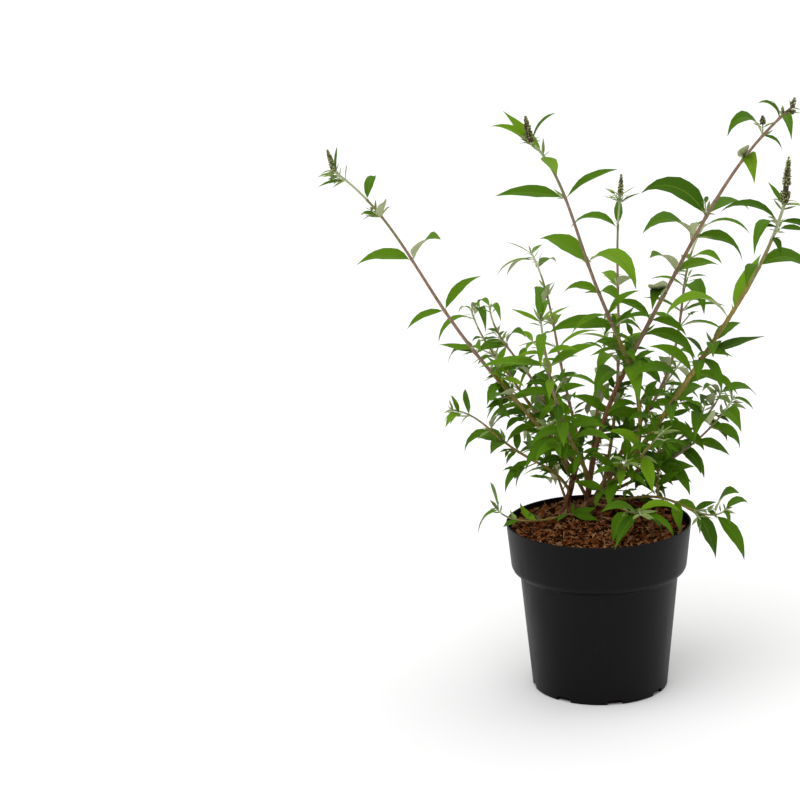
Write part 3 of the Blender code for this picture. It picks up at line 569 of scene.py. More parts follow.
CANES = (
    Cane("far_left", "left", 0.75, -165, 30.5, 22, 3, 414, (2.4, 1.1), 62, 3, sway=8, spike=24,
         full=150, tufts=0.12, tuft_length=10,
         pairs=((83, 150, 75, 56, 48), (111, 275, 25, 88, 40), (172, 145, 10, 46, 0),
                (175, 135, 70, 45, 50), (227, 195, 55, 46, 55), (290, 145, 50, 74, 85),
                (345, 310, 30, 60, 30), (368, 40, 90, 50, 0), (398, 340, 25, 30, 36),
                (411, 165, 15, 25, 42))),
    Cane("strong_right", "stub", 0.90, -32, 41, -24, 2, 376, (3.0, 1.5), 84, 5, sway=-4,
         veer=-6, spike=46, full=225, tufts=0.15, tuft_length=18,
         pairs=((145, 175, 100, 73, 0), (147, 50, 30, 46, 0), (180, 250, 70, 57, 0),
                (183, 275, 80, 53, 0), (188, 30, 10, 69, 50), (238, 175, 115, 88, 0),
                (247, 90, 10, 76, 0), (303, 50, 110, 82, 50), (336, 280, 95, 34, 0),
                (351, 230, 115, 75, 0), (354, 165, 95, 65, 50), (372, 135, 15, 31, 24))),
    Cane("left_centre", "strong_right", 0.13, -159, -15, 80, 1, 392, (2.3, 1.2), 46, 7, sway=16,
         veer=44, spike=28, full=200, tufts=0.12, tuft_length=16, phase=40,
         pairs=((91, 100, 25, 54, 0), (94, 310, 100, 80, 0), (141, 160, 55, 73, 60),
                (219, 115, 55, 78, 0), (222, 330, 115, 88, 0), (298, 175, 30, 71, 70),
                (359, 100, 10, 61, 72), (386, 90, 60, 46, 0), (388, 50, 50, 50, 0))),
    Cane("top_right", "middle", 0.90, -19, 6.5, 43, 1, 460, (2.8, 1.3), 74, 9, sway=7,
         spike=10, heads=((417, 170, 40, 13, 9), (445, 150, 45, 4, 5), (449, 330, 30, 3, 9)),
         full=200, tufts=0.22, tuft_length=16,
         pairs=((123, 225, 105, 80, 0), (126, 80, 95, 76, 0), (176, 185, 130, 58, 69),
                (220, 240, 30, 80, 0), (223, 235, 90, 64, 0), (251, 225, 45, 86, 58),
                (291, 200, 90, 86, 66), (316, 160, 105, 85, 0), (319, 65, 70, 74, 0),
                (386, 245, 15, 58, 0), (389, 260, 100, 60, 0), (417, 185, 130, 72, 27),
                (441, 170, 95, 36, 0), (444, 255, 95, 54, 0))),
    Cane("centre", "stub", 0.60, 56, 25, -42, 2, 319, (2.0, 1.0), 60, 11, veer=60,
         spike=23, full=200, tufts=0.2, tuft_length=12, phase=190,
         pairs=((137, 250, 115, 66, 0), (140, 60, 10, 66, 0), (218, 290, 50, 58, 56),
                (281, 150, 105, 67, 0), (284, 90, 10, 44, 0), (309, 200, 20, 24, 26))),
    Cane("thin_left", "middle", 0.55, 128, 9, 36, 2, 265, (1.9, 0.9), 58, 13, sway=10,
         full=200, tufts=0.2, tuft_length=12, phase=180,
         pairs=((98, 110, 75, 56, 40), (140, 150, 55, 35, 24), (212, 95, 115, 70, 62),
                (244, 60, 50, 62, 0), (254, 185, 80, 50, 0), (257, 130, 50, 56, 0),
                (264, 245, 20, 34, 45))),
    Cane("behind_right", "stub", 0.78, 38, 21, 30, 3, 303, (2.0, 1.0), 60, 15, sway=23, veer=8,
         full=215, tufts=0.2, tuft_length=14,
         pairs=((140, 60, 70, 56, 50), (188, 150, 70, 52, 56), (228, 280, 120, 78, 0),
                (231, 185, 65, 40, 0), (259, 290, 80, 57, 40), (301, 290, 90, 60, 80))),
    Cane("low_left", "left", 0.40, -168, 22, 60, 1, 160, (1.8, 0.8), 50, 17, sway=19,
         full=100, tufts=0.2, tuft_length=12,
         pairs=((74, 20, 60, 28, 20), (110, 170, 85, 42, 60), (139, 5, 55, 46, 14),
                (147, 300, 45, 50, 0), (150, 5, 10, 26, 0), (158, 190, 10, 16, 12))),
    Cane("outer_left", "left", 0.95, 151, 62, -46, 1, 202, (1.8, 0.9), 60, 19, sway=-12,
         joint=30, phase=80, leaf=44, full=185, tufts=0.15, tuft_length=14,
         pairs=((130, 285, 75, 58, 36), (189, 235, 110, 63, 0), (192, 300, 130, 70, 0),
                (201, 115, 75, 38, 50))),
    Cane("inner_left", "left", 1.0, 171, 37, -34, 3, 190, (1.8, 0.9), 50, 21, sway=-13,
         joint=30, phase=40, leaf=46, full=180, tufts=0.12, tuft_length=14,
         pairs=((105, 100, 25, 56, 44), (141, 110, 50, 60, 0), (144, 330, 95, 50, 0),
                (188, 110, 100, 49, 50))),
    Cane("leafy_left", "middle", 1.0, -110, 40, -25, 3, 247, (2.4, 1.0), 50, 23, sway=5,
         joint=30, leaf=52, spike=8, full=220, tufts=0.2, tuft_length=18,
         pairs=((61, 90, 10, 45, 0), (64, 120, 125, 66, 0), (100, 10, 70, 50, 44),
                (140, 95, 75, 56, 40), (190, 190, 35, 74, 58), (229, 270, 95, 62, 0),
                (243, 170, 10, 33, 37), (246, 90, 45, 52, 0), (247, 75, 70, 46, 0))),
    Cane("right_low_upper", "stub", 0.80, 6, 66, -49, 2, 159, (1.8, 0.8), 46, 25, sway=-8,
         full=130, tufts=0.3, tuft_length=14, phase=60,
         pairs=((95, 100, 70, 44, 40), (120, 185, 100, 34, 40), (137, 220, 90, 60, 0),
                (153, 50, 70, 66, 56))),
    Cane("right_low", "stub", 0.42, -4, 64, -36, 2, 186, (1.9, 0.8), 46, 27,
         full=150, tufts=0.2, tuft_length=16, phase=20,
         pairs=((105, 110, 80, 46, 42), (143, 205, 130, 80, 50), (162, 260, 70, 72, 20),
                (183, 315, 65, 30, 46))),
    Cane("trailing_left", "left", 0.05, -80, 90.5, -50, 4, 113, (1.6, 0.8), 40, 29, sway=-5, veer=-138,
         tufts=0.2, tuft_length=10,
         pairs=((61, 25, 55, 35, 0), (63, 70, -75, 30, 0), (84, 240, 40, 26, 22),
                (107, 320, 65, 56, 48))),
    Cane("front_right", "stub", 0.35, -62, 100, -36, 1, 102, (1.7, 0.9), 60, 31, sway=-14,
         full=74, tufts=0.2, tuft_length=10, spike=5,
         pairs=((78, 60, 80, 44, 46), (97, 90, 90, 50, 0), (99, 320, 70, 52, 0),
                (101, 155, 45, 68, 0), (102, 275, 30, 66, 0))),
    Cane("rim_right", "stub", 0.50, -25, 104, -63, 3, 150, (1.8, 0.8), 80, 33, sway=-27,
         full=96, tufts=0.2, tuft_length=12,
         pairs=((88, 70, 70, 42, 40), (110, 345, 30, 26, 64), (133, 160, 60, 70, 60),
                (146, 95, 90, 44, 26))),
    Cane("small_right", "stub", 1.0, -60, 48, 8, 1, 124, (1.6, 0.8), 40, 35, sway=6,
         joint=28, phase=20, leaf=48, full=124, tufts=0.2, tuft_length=16),
    Cane("upright_right", "rim_right", 0.46, 80, 12, -10, 1, 78, (1.4, 0.8), 9, 37,
         joint=18, phase=10, leaf=48, full=78, tufts=0.2, tuft_length=14),
    Cane("base_left", "left", 0.62, -118, 40, -12, 1, 90, (1.5, 0.8), 34, 51,
         joint=17, phase=20, leaf=36, full=90, tufts=0.0),
    Cane("base_right", "stub", 0.75, -72, 66, -24, 1, 84, (1.6, 0.8), 34, 53,
         joint=19, phase=70, leaf=44, full=84, tufts=0.0),
    Cane("back_left", "middle", 0.40, 140, 36, 16, 1, 195, (2.0, 0.9), 60, 41,
         joint=32, phase=30, leaf=56, full=195, tufts=0.12, tuft_length=18),
    Cane("back", "middle", 0.62, 80, 30, 20, 1, 205, (2.1, 0.9), 60, 43, sway=6,
         joint=34, phase=0, leaf=58, full=205, tufts=0.1, tuft_length=18),
    Cane("back_right", "stub", 0.32, 46, 44, 8, 1, 195, (2.0, 0.9), 60, 45,
         joint=32, phase=60, leaf=56, full=195, tufts=0.12, tuft_length=18),
    Cane("back_low", "left", 0.20, 104, 78, -30, 2, 130, (1.6, 0.8), 50, 47, sway=-10,
         joint=24, phase=20, leaf=48, full=130, tufts=0.2, tuft_length=12),
)


@dataclass(frozen=True)
class LeafRule:
    """Proportions and angles shared by every leaf of the bush."""

    width: float = 0.265
    thickness: float = 0.016
    fold: float = 0.30
    spread: float = 57.0
    fall: float = 70.0
    bend: float = 1.3
    lowest: float = 172.0
    steps: int = 12
    long_stations: tuple = ((0.38, 1.0), (0.72, 0.60))
    short_stations: tuple = ((0.45, 1.0),)
    bent_from: float = 60.0
    clearance: float = 0.0005
    roll: float = 15.0
    light: Triple = (-0.2, -0.8, 0.57)
    sun_share: float = 0.75
    sun_limit: float = 58.0
    root_sink: float = 0.55
    pair_jitter: float = 14.0
    fall_jitter: float = 20.0
    size_jitter: float = 0.12
    tries: tuple = ((0, 0), (22, 8), (-22, 8), (0, -30), (0, 32), (42, 0), (-42, 0))
    profile: Triple = (0.80, 1.0, 0.45)
    tip_share: float = 0.80
    tip_narrowing: float = 0.40
    fall_less: float = 0.3
    second_size: float = 0.92
    joint_less: float = 0.5


@dataclass(frozen=True)
class StemRule:
    """Proportions shared by the stems, the small twigs and the bud spikes."""

    path_steps: int = 48
    run: float = 26.0
    turn: float = math.radians(15)
    shoot_sides: int = 5
    flare: float = 1.75
    flare_height: float = 9.0
    first_joint: float = 5.0
    least_joint: float = 0.45
    last_joint: float = 3.5
    tuft_spread: float = 32.0
    tuft_radii: Pair = (0.0009, 0.0007)
    tuft_place: float = 0.94
    tuft_leaf: float = 1.3
    tuft_sizes: Pair = (0.75, 1.25)
    tuft_fall: float = 0.6
    tuft_outer: float = 0.4
    twig_sides: int = 3
    spike_rings: tuple = ((0.03, 0.75), (0.20, 1.0), (0.60, 0.78), (0.93, 0.42))
    spike_slender: float = 0.125
    spike_sides: int = 6
    spike_root: float = 0.06
    spike_sunk: float = 1.5
    spike_rise: float = 2.0
    head_width: float = 0.32
    head_sink: float = 0.8
    stalk_radius: float = 0.0007


BOUGHS = ["bough_" + cane.name for cane in CANES]
SHOOTS = ["shoot_" + cane.name for cane in CANES]
LEAVES = LeafRule()
STEMS = StemRule()
LIGHT = Vector(LEAVES.light)


def direction(heading: float, lean: float) -> Vector:
    """Unit vector that points along a heading in plan, leaned from upright."""
    turn, tilt = math.radians(heading), math.radians(lean)
    return Vector((math.sin(tilt) * math.cos(turn), math.sin(tilt) * math.sin(turn), math.cos(tilt)))


def arc(foot: Sequence[float], heading: float, lean: float, length: float, bow: float = 0.0,
        power: float = 1.0, sway: float = 0.0, veer: float = 0.0,
        steps: int = STEMS.path_steps) -> list[Vector]:
    """Points along a limb or a leaf that leans more by its tip, sways once and veers in plan.

    Args:
        foot: the first point.
        heading: heading at the foot.
        lean: lean at the foot.
        length: length in millimetres.
        bow: change of lean by the tip.
        power: how late the bow comes.
        sway: height of one S-bend in degrees.
        veer: change of heading by the tip.
        steps: number of straight steps.

    Returns:
        steps + 1 points.
    """
    points = [Vector(foot)]
    for step in range(steps):
        share = (step + 0.5) / steps
        tilt = lean + bow * share ** power + sway * math.sin(TURN * share)
        points.append(points[-1] + direction(heading + veer * share, tilt) * (length * MM / steps))
    return points


def at(points: Sequence[Vector], share: float) -> tuple[Vector, Vector]:
    """Place and unit direction at a share of the way along a path.

    Args:
        points: evenly spaced points.
        share: from 0 at the first point to 1 at the last.

    Returns:
        The place and the direction there.
    """
    place = min(max(share, 0.0), 1.0) * (len(points) - 1)
    index = min(int(place), len(points) - 2)
    way = points[index + 1] - points[index]
    return points[index] + way * (place - index), way.normalized()


def frame_across(way: Vector, hint: Vector) -> tuple[Vector, Vector]:
    """Two unit vectors across a direction.

    Args:
        way: unit direction.
        hint: where the first vector should point.

    Returns:
        The two unit vectors.
    """
    first = hint - way * hint.dot(way)
    if first.length < PARALLEL:
        first = EAST - way * way.x
    first.normalize()
    return first, way.cross(first)


def outward(way: Vector, heading: float) -> Vector:
    """Unit vector across a stem that points nearest to a heading."""
    turn = math.radians(heading)
    return frame_across(way, Vector((math.cos(turn), math.sin(turn), 0)))[0]


def leaning_out(way: Vector, out: Vector, spread: float) -> Vector:
    """Unit vector that leaves a stem's direction by an angle in degrees, towards out."""
    tilt = math.radians(spread)
    return way * math.cos(tilt) + out * math.sin(tilt)


def spokes(sides: int) -> list[Pair]:
    """Cosine and sine of equal turns round a circle."""
    return [(math.cos(TURN * side / sides), math.sin(TURN * side / sides)) for side in range(sides)]


def quads(rings: int, sides: int, first: int = 0) -> list[tuple[int, ...]]:
    """Faces between neighbouring rings of vertices, numbered from the first one."""
    return [(base + k, base + (k + 1) % sides, base + sides + (k + 1) % sides, base + sides + k)
            for base in range(first, first + sides * (rings - 1), sides) for k in range(sides)]


def tube(rings: Sequence[Ring], sides: int) -> Form:
    """Closed tapering tube with flat ends.

    Args:
        rings: place, direction and radius of each ring.
        sides: facets round the tube.

    Returns:
        Vertices and faces.
    """
    vertices = []
    for place, way, radius in rings:
        across, up = frame_across(way, AWAY)
        vertices += [place + (across * c + up * s) * radius for c, s in spokes(sides)]
    last = len(vertices) - sides
    ends = [tuple(reversed(range(sides))), tuple(range(last, last + sides))]
    return vertices, [ends[0], *quads(len(rings), sides), ends[1]]


def spindle_faces(rings: int, sides: int) -> list[tuple[int, ...]]:
    """Faces of a form with a point at each end and rings of vertices between.

    Args:
        rings: number of rings.
        sides: vertices in each ring.

    Returns:
        The faces from the first point to the last.
    """
    tip = 1 + rings * sides
    last = tip - sides
    return ([(0, 1 + (k + 1) % sides, 1 + k) for k in range(sides)] + quads(rings, sides, 1)
            + [(tip, last + k, last + (k + 1) % sides) for k in range(sides)])


def spindle(first: Vector, rings: Sequence[Sequence[Vector]], last: Vector) -> Form:
    """Closed form with a point at each end and rings of vertices between."""
    vertices = [first, *(vertex for ring in rings for vertex in ring), last]
    return vertices, spindle_faces(len(rings), len(rings[0]))


@dataclass(frozen=True)
class Perch:
    """Where a leaf grows: its cane, the stem's axis, direction and radius, its spray and age."""

    owner: str
    axis: Vector
    way: Vector
    sink: float
    spray: int
    age: float


@dataclass(frozen=True)
class LeafPath:
    """Midrib of one leaf as it stands: points, the level direction across it and its rolls.

    roll is in radians, and sunward is the roll in degrees that would turn its face to the light.
    """

    points: list[Vector]
    side: Vector
    roll: float
    sunward: float

    def frame(self, share: float, twist: float = 0.0) -> tuple[Vector, Vector, Vector]:
        """Place on the midrib with the leaf's own directions there.

        Args:
            share: share of the way along the leaf.
            twist: extra roll in radians.

        Returns:
            The place, the direction to the leaf's edge and the direction its face looks.
        """
        place, ahead = at(self.points, share)
        upper = ahead.cross(self.side)
        roll = self.roll + twist
        edge = self.side * math.cos(roll) + upper * math.sin(roll)
        return place, edge, upper * math.cos(roll) - self.side * math.sin(roll)


def leaf_path(perch: Perch, leaf: Leaf, steps: int = LEAVES.steps) -> LeafPath:
    """Midrib of a leaf that grows from a stem, turned part of the way to the light.

    Args:
        perch: where it grows.
        leaf: the leaf.
        steps: straight steps of the midrib.

    Returns:
        The leaf's path.
    """
    out = outward(perch.way, leaf.heading)
    start = leaning_out(perch.way, out, LEAVES.spread)
    lean = math.degrees(math.acos(max(-1.0, min(1.0, start.z))))
    turn = math.atan2(start.y, start.x)
    fall = min(leaf.fall, LEAVES.lowest - lean)
    root = perch.axis - out * (perch.sink * LEAVES.root_sink)
    points = arc(root, math.degrees(turn), lean, leaf.length, fall, LEAVES.bend, steps=steps)
    side = Vector((-math.sin(turn), math.cos(turn), 0))
    upper = at(points, 0.5)[1].cross(side)
    sunward = math.degrees(math.atan2(-LIGHT.dot(side), LIGHT.dot(upper)))
    sun = min(max(LEAVES.sun_share * sunward, -LEAVES.sun_limit), LEAVES.sun_limit)
    return LeafPath(points, side, math.radians(leaf.roll + sun), sunward)


def leaf_form(perch: Perch, leaf: Leaf, extra: float = 0.0) -> Form:
    """Coarse form of one folded leaf, as in the solids: a root point, one or two stations and a tip.

    Args:
        perch: where it grows.
        leaf: the leaf.
        extra: room kept all round it, in metres.

    Returns:
        Vertices and faces.
    """
    path = leaf_path(perch, leaf)
    half_width = 0.5 * LEAVES.width * leaf.slender * leaf.length * MM + extra
    thickness = LEAVES.thickness * leaf.length * MM + 2 * extra
    stations = LEAVES.long_stations if leaf.length >= LEAVES.bent_from else LEAVES.short_stations
    rings = []
    for share, wide in stations:
        place, edge, face = path.frame(share)
        reach = half_width * wide
        crest = face * (reach * LEAVES.fold)
        rings.append([place + edge * reach + crest, place + face * (thickness / 2),
                      place - edge * reach + crest, place - face * (thickness / 2)])
    before, last = path.points[-2:]
    return spindle(path.points[0], rings, last + (last - before).normalized() * extra)


def blade_of(form: Form) -> Form:
    """A leaf's form without its root point, closed across its first station."""
    kept = [tuple(index - 1 for index in face) for face in form[1] if 0 not in face]
    return form[0][1:], kept + [(0, 1, 2, 3)]


def spike_form(root: Vector, way: Vector, length: float, half_width: float) -> Form:
    """Coarse form of a bud spike: fullest near its foot, with a blunt point.

    Args:
        root: foot of the spike.
        way: unit direction.
        length: length in metres.
        half_width: greatest radius in metres.

    Returns:
        Vertices and faces.
    """
    across, up = frame_across(way, EAST)
    rings = [[root + way * (length * share) + (across * c + up * s) * half_width * wide
              for c, s in spokes(STEMS.spike_sides)] for share, wide in STEMS.spike_rings]
    return spindle(root - way * (STEMS.spike_root * length), rings, root + way * length)


def twig_form(foot: Vector, tip: Vector, aim: Vector, radii: Pair) -> Form:
    """Closed tube of a straight twig."""
    return tube([(foot, aim, radii[0]), (tip, aim, radii[1])], STEMS.twig_sides)


@dataclass(frozen=True)
class Limb:
    """One grown limb: points along its axis, its length in millimetres and its end radii in metres."""

    points: list[Vector]
    length: float
    foot_radius: float
    tip_radius: float
    flare: float = 1.0

    def radius(self, share: float) -> float:
        """Radius in metres at a share of the limb's length, root flare included."""
        near = max(0.0, 1 - share * self.length / STEMS.flare_height)
        plain = self.foot_radius + (self.tip_radius - self.foot_radius) * share
        return plain * (1 + (self.flare - 1) * near * near)

    def shares(self, start: float, end: float) -> list[float]:
        """Shares of the limb where its straight runs meet, closer together where it bends more.

        Args:
            start: first share.
            end: last share.

        Returns:
            The shares in order.
        """
        first, last = (round(share * (len(self.points) - 1)) for share in (start, end))
        ways = [b - a for a, b in zip(self.points[first:last], self.points[first + 1:last + 1])]
        turn = sum(a.angle(b) for a, b in zip(ways, ways[1:]))
        count = max(1, round((end - start) * self.length / STEMS.run), math.ceil(turn / STEMS.turn))
        return [start + (end - start) * index / count for index in range(count + 1)]

    def seat(self, share: float, start: float) -> Vector:
        """Place on the straight runs of a shoot, which carry its leaves.

        Args:
            share: share of the limb's length.
            start: share where the shoot begins.

        Returns:
            The place.
        """
        shares = self.shares(start, 1)
        index = max(k for k in range(len(shares) - 1) if shares[k] <= max(share, start))
        low, high = (at(self.points, shares[k])[0] for k in (index, index + 1))
        return low.lerp(high, (share - shares[index]) / (shares[index + 1] - shares[index]))

    def form(self, start: float, end: float, sides: int) -> Form:
        """Closed tube with a number of sides between two shares of the limb."""
        return tube([(*at(self.points, share), self.radius(share))
                     for share in self.shares(start, end)], sides)


class Hull:
    """A form with its bounds and, once it is needed, its search tree."""

    def __init__(self, form: Form) -> None:
        """Keep the form's vertices and faces and measure it."""
        self.form = form
        self.low = [min(vertex[axis] for vertex in form[0]) for axis in range(3)]
        self.high = [max(vertex[axis] for vertex in form[0]) for axis in range(3)]

    @cached_property
    def tree(self) -> BVHTree:
        """The search tree of the form's faces."""
        return BVHTree.FromPolygons(*self.form)

    def meets(self, other: "Hull") -> bool:
        """True where the bounds of two forms meet."""
        low, high, its_low, its_high = self.low, self.high, other.low, other.high
        return (low[0] <= its_high[0] and high[0] >= its_low[0] and low[1] <= its_high[1]
                and high[1] >= its_low[1] and low[2] <= its_high[2] and high[2] >= its_low[2])

    def cuts(self, other: "Hull") -> bool:
        """True where the surfaces of two forms cross."""
        return self.meets(other) and bool(self.tree.overlap(other.tree))


class Thicket:
    """Keeps every solid placed so far, so that new leaves and twigs stay clear of them."""

    def __init__(self) -> None:
        """Start with nothing placed."""
        self.placed: list[tuple[str, Hull, Hull | None]] = []

    def add(self, owner: str, form: Form, blade: Form | None = None) -> None:
        """Keep a form of an owner. The owner's own leaves are held clear of its blade alone."""
        self.placed.append((owner, Hull(form), Hull(blade) if blade else None))

    def is_clear(self, owner: str, form: Form, blade: Form) -> bool:
        """Test a form against all that is placed.

        Args:
            owner: name of the cane.
            form: the whole form, which has to clear what others own.
            blade: the part that has to clear the blades of the same owner.

        Returns:
            True where nothing is cut.
        """
        whole = Hull(form)
        part = Hull(blade)
        for other, solid, its_blade in self.placed:
            if other != owner and whole.cuts(solid):
                return False
            if other == owner and its_blade and part.cuts(its_blade):
                return False
        return True


@dataclass(frozen=True)
class GrownLeaf:
    """A leaf that found its place."""

    perch: Perch
    leaf: Leaf


@dataclass(frozen=True)
class GrownTwig:
    """A small straight twig: its ends in metres, its radii and how near it is to the cane's tip."""

    root: Vector
    tip: Vector
    radii: Pair
    age: float


@dataclass(frozen=True)
class GrownSpike:
    """A spike or head of buds: its cane, foot, direction, length and greatest radius in metres."""

    owner: str
    root: Vector
    way: Vector
    length: float
    half_width: float
    seed: int


def ramp(value: float, low: float, high: float) -> float:
    """How far a value has come from low to high, held within 0 and 1."""
    return min(max((value - low) / (high - low), 0.0), 1.0)


def leaf_size(share: float) -> float:
    """Share of a cane's longest leaf that its leaves have.

    Args:
        share: share of the way along the cane.

    Returns:
        The share of the length.
    """
    foot, middle, tip = LEAVES.profile
    if share < 0.5:
        return foot + (middle - foot) * share * 2
    return middle + (tip - middle) * (share - 0.5) * 2


def leaf_pair(rng: random.Random, share: float, heading: float, fall: float,
              lengths: Sequence[float]) -> tuple[Leaf, ...]:
    """Two leaves that face each other across a stem, narrower ones near the tip of the cane.

    Args:
        rng: the cane's own source of chance.
        share: share of the way along the cane.
        heading: heading of the first leaf.
        fall: fall of both in degrees.
        lengths: the two lengths; 0 is a leaf that was shed.

    Returns:
        The leaves that are there.
    """
    rolls = [rng.uniform(-LEAVES.roll, LEAVES.roll) for _ in range(2)]
    past = max(0.0, share - LEAVES.tip_share) / (1 - LEAVES.tip_share)
    slender = 1 - LEAVES.tip_narrowing * past
    return tuple(Leaf(heading + 180 * side, length, fall, roll, slender)
                 for side, (length, roll) in enumerate(zip(lengths, rolls)) if length)


def cane_joints(cane: Cane) -> list[Joint]:
    """Joints of a cane: those the rule adds low down, then the measured ones.

    Args:
        cane: the cane.

    Returns:
        The joints.
    """
    rng = random.Random(cane.seed)
    measured = [pair[0] for pair in cane.pairs]
    joints = []
    place = cane.bare + STEMS.first_joint
    turn = cane.phase
    least = cane.joint * STEMS.least_joint
    while place < cane.full:
        close = [other for other in measured if abs(place - other) < least]
        if close:
            place = max(close) + least + 1
            continue
        share = place / cane.length
        size = cane.leaf * leaf_size(share) * (1 + rng.uniform(-LEAVES.size_jitter, LEAVES.size_jitter))
        heading = turn + rng.uniform(-LEAVES.pair_jitter, LEAVES.pair_jitter)
        fall = LEAVES.fall * (1 - LEAVES.fall_less * share)
        fall += rng.uniform(-LEAVES.fall_jitter, LEAVES.fall_jitter)
        pair = leaf_pair(rng, share, heading, fall, (size, LEAVES.second_size * size))
        joints.append(Joint(place, pair, False))
        place += cane.joint * (1 - LEAVES.joint_less * share)
        turn += 90
    for place, heading, fall, *lengths in cane.pairs:
        joints.append(Joint(place, leaf_pair(rng, place / cane.length, heading, fall, lengths), True))
    return joints


def every_joint() -> Iterator[tuple[Cane, Joint, int]]:
    """Every joint of every cane in order, with its cane and the number of the spray it bears."""
    for cane in CANES:
        for index, joint in enumerate(cane_joints(cane)):
            yield cane, joint, cane.seed * SPRAYS + index


def leaf_share(cane: Cane, joint: Joint) -> float:
    """Share of a cane's length at which a joint's leaves grow, held back from the tip."""
    return min(joint.place, cane.length - STEMS.last_joint) / cane.length


def shoot_start(cane: Cane) -> float:
    """Share of a cane where its shoot begins, just clear of its bough."""
    return (cane.bare + GAP / MM) / cane.length


class Bush:
    """Grows the leaves and twigs of every cane, each one clear of all that stands already."""

    def __init__(self, limbs: dict[str, Limb], solids: Iterable[tuple[str, Form]]) -> None:
        """Set the solids, stems and buds in place.

        Args:
            limbs: every limb by name.
            solids: name and form of pot, bark, stump and boughs.
        """
        self.limbs = limbs
        self.thicket = Thicket()
        self.leaves: list[GrownLeaf] = []
        self.twigs: list[GrownTwig] = []
        self.spikes: list[GrownSpike] = []
        for name, form in solids:
            self.thicket.add(name, form)
        for cane in CANES:
            limb = self.limbs[cane.name]
            self.thicket.add(cane.name, limb.form(shoot_start(cane), 1, STEMS.shoot_sides))
            self._set_buds(cane)

    def perch(self, cane: Cane, share: float, spray: int, age: float | None = None) -> Perch:
        """Perch at a share of a cane's length; its leaves are as old as that, unless age says other."""
        limb = self.limbs[cane.name]
        return Perch(cane.name, limb.seat(share, shoot_start(cane)), at(limb.points, share)[1],
                     limb.radius(share), spray, share if age is None else age)

    def _set_buds(self, cane: Cane) -> None:
        """Set the spike of buds at the tip of a cane and the smaller heads on stalks beside it."""
        if cane.spike:
            tip, way = at(self.limbs[cane.name].points, 1 - STEMS.spike_sunk / cane.length)
            aim = (way + UP * STEMS.spike_rise).normalized()
            self._set_spike(cane, tip, aim, cane.spike, STEMS.spike_slender)
        for place, heading, spread, stalk, length in cane.heads:
            perch = self.perch(cane, place / cane.length, 0)
            aim = leaning_out(perch.way, outward(perch.way, heading), spread)
            top = perch.axis + aim * (stalk * MM)
            radii = (STEMS.stalk_radius, STEMS.stalk_radius)
            form = twig_form(perch.axis, top, aim, radii)
            self.thicket.add(cane.name, form, form)
            self.twigs.append(GrownTwig(perch.axis, top, radii, 1.0))
            self._set_spike(cane, top - aim * (STEMS.head_sink * MM), aim, length, STEMS.head_width)

    def _set_spike(self, cane: Cane, root: Vector, aim: Vector, length: float, slender: float) -> None:
        """Set one spike or head.

        Args:
            cane: the cane that bears it.
            root: foot of the spike.
            aim: unit direction.
            length: length in millimetres.
            slender: greatest radius as a share of the length.
        """
        half_width = slender * length * MM
        form = spike_form(root, aim, length * MM, half_width)
        self.thicket.add(cane.name, form, form)
        seed = cane.seed + len(self.spikes)
        self.spikes.append(GrownSpike(cane.name, root, aim, length * MM, half_width, seed))

    def try_leaf(self, perch: Perch, leaf: Leaf, tries: Sequence[Pair] = LEAVES.tries) -> None:
        """Grow one leaf where it stands clear, in its own place or one of the turns near it.

        Args:
            perch: where it grows.
            leaf: the leaf.
            tries: turns and extra falls to try, in degrees.
        """
        for turned, fallen in tries:
            moved = replace(leaf, heading=leaf.heading + turned, fall=leaf.fall + fallen)
            form = leaf_form(perch, moved, LEAVES.clearance)
            if self.thicket.is_clear(perch.owner, form, blade_of(form)):
                form = leaf_form(perch, moved)
                self.thicket.add(perch.owner, form, blade_of(form))
                self.leaves.append(GrownLeaf(perch, moved))
                return

    def grow_leaves(self, measured: bool) -> None:
        """Grow leaves on every cane: the measured ones, or else those that the rule adds."""
        for cane, joint, spray in every_joint():
            if joint.measured == measured:
                perch = self.perch(cane, leaf_share(cane, joint), spray)
                for leaf in joint.leaves:
                    self.try_leaf(perch, leaf)

    def grow_tufts(self) -> None:
        """Grow a small leafy twig in the axils of some leaves."""
        for cane, joint, spray in every_joint():
            rng = random.Random(spray)
            for leaf in joint.leaves:
                chance = rng.random()
                length = cane.tuft_length * rng.uniform(*STEMS.tuft_sizes)
                turn = leaf.heading + rng.uniform(-LEAVES.pair_jitter, LEAVES.pair_jitter)
                rolls = [rng.uniform(-LEAVES.roll, LEAVES.roll) for _ in range(2)]
                if chance < cane.tufts:
                    self._try_tuft(self.perch(cane, joint.place / cane.length, spray), length, turn, rolls)

    def _try_tuft(self, perch: Perch, length: float, turn: float, rolls: Sequence[float]) -> None:
        """Grow one twig with a pair of small leaves near its tip, if its stem stands clear.

        Args:
            perch: where it grows.
            length: length in millimetres.
            turn: heading in degrees.
            rolls: roll of each leaf.
        """
        root = perch.axis
        aim = leaning_out(perch.way, outward(perch.way, turn), STEMS.tuft_spread)
        tip = root + aim * (length * MM)
        twig = twig_form(root, tip, aim, STEMS.tuft_radii)
        outer = twig_form(root + (tip - root) * STEMS.tuft_outer, tip, aim, STEMS.tuft_radii)
        if not self.thicket.is_clear(perch.owner, twig, outer):
            return
        self.thicket.add(perch.owner, twig, outer)
        self.twigs.append(GrownTwig(root, tip, STEMS.tuft_radii, perch.age))
        place = root + (tip - root) * STEMS.tuft_place
        bearer = replace(perch, axis=place, way=aim, sink=STEMS.tuft_radii[1])
        for side, roll in enumerate(rolls):
            self.try_leaf(bearer, Leaf(turn + 90 + 180 * side, STEMS.tuft_leaf * length,
                                       LEAVES.fall * STEMS.tuft_fall, roll))


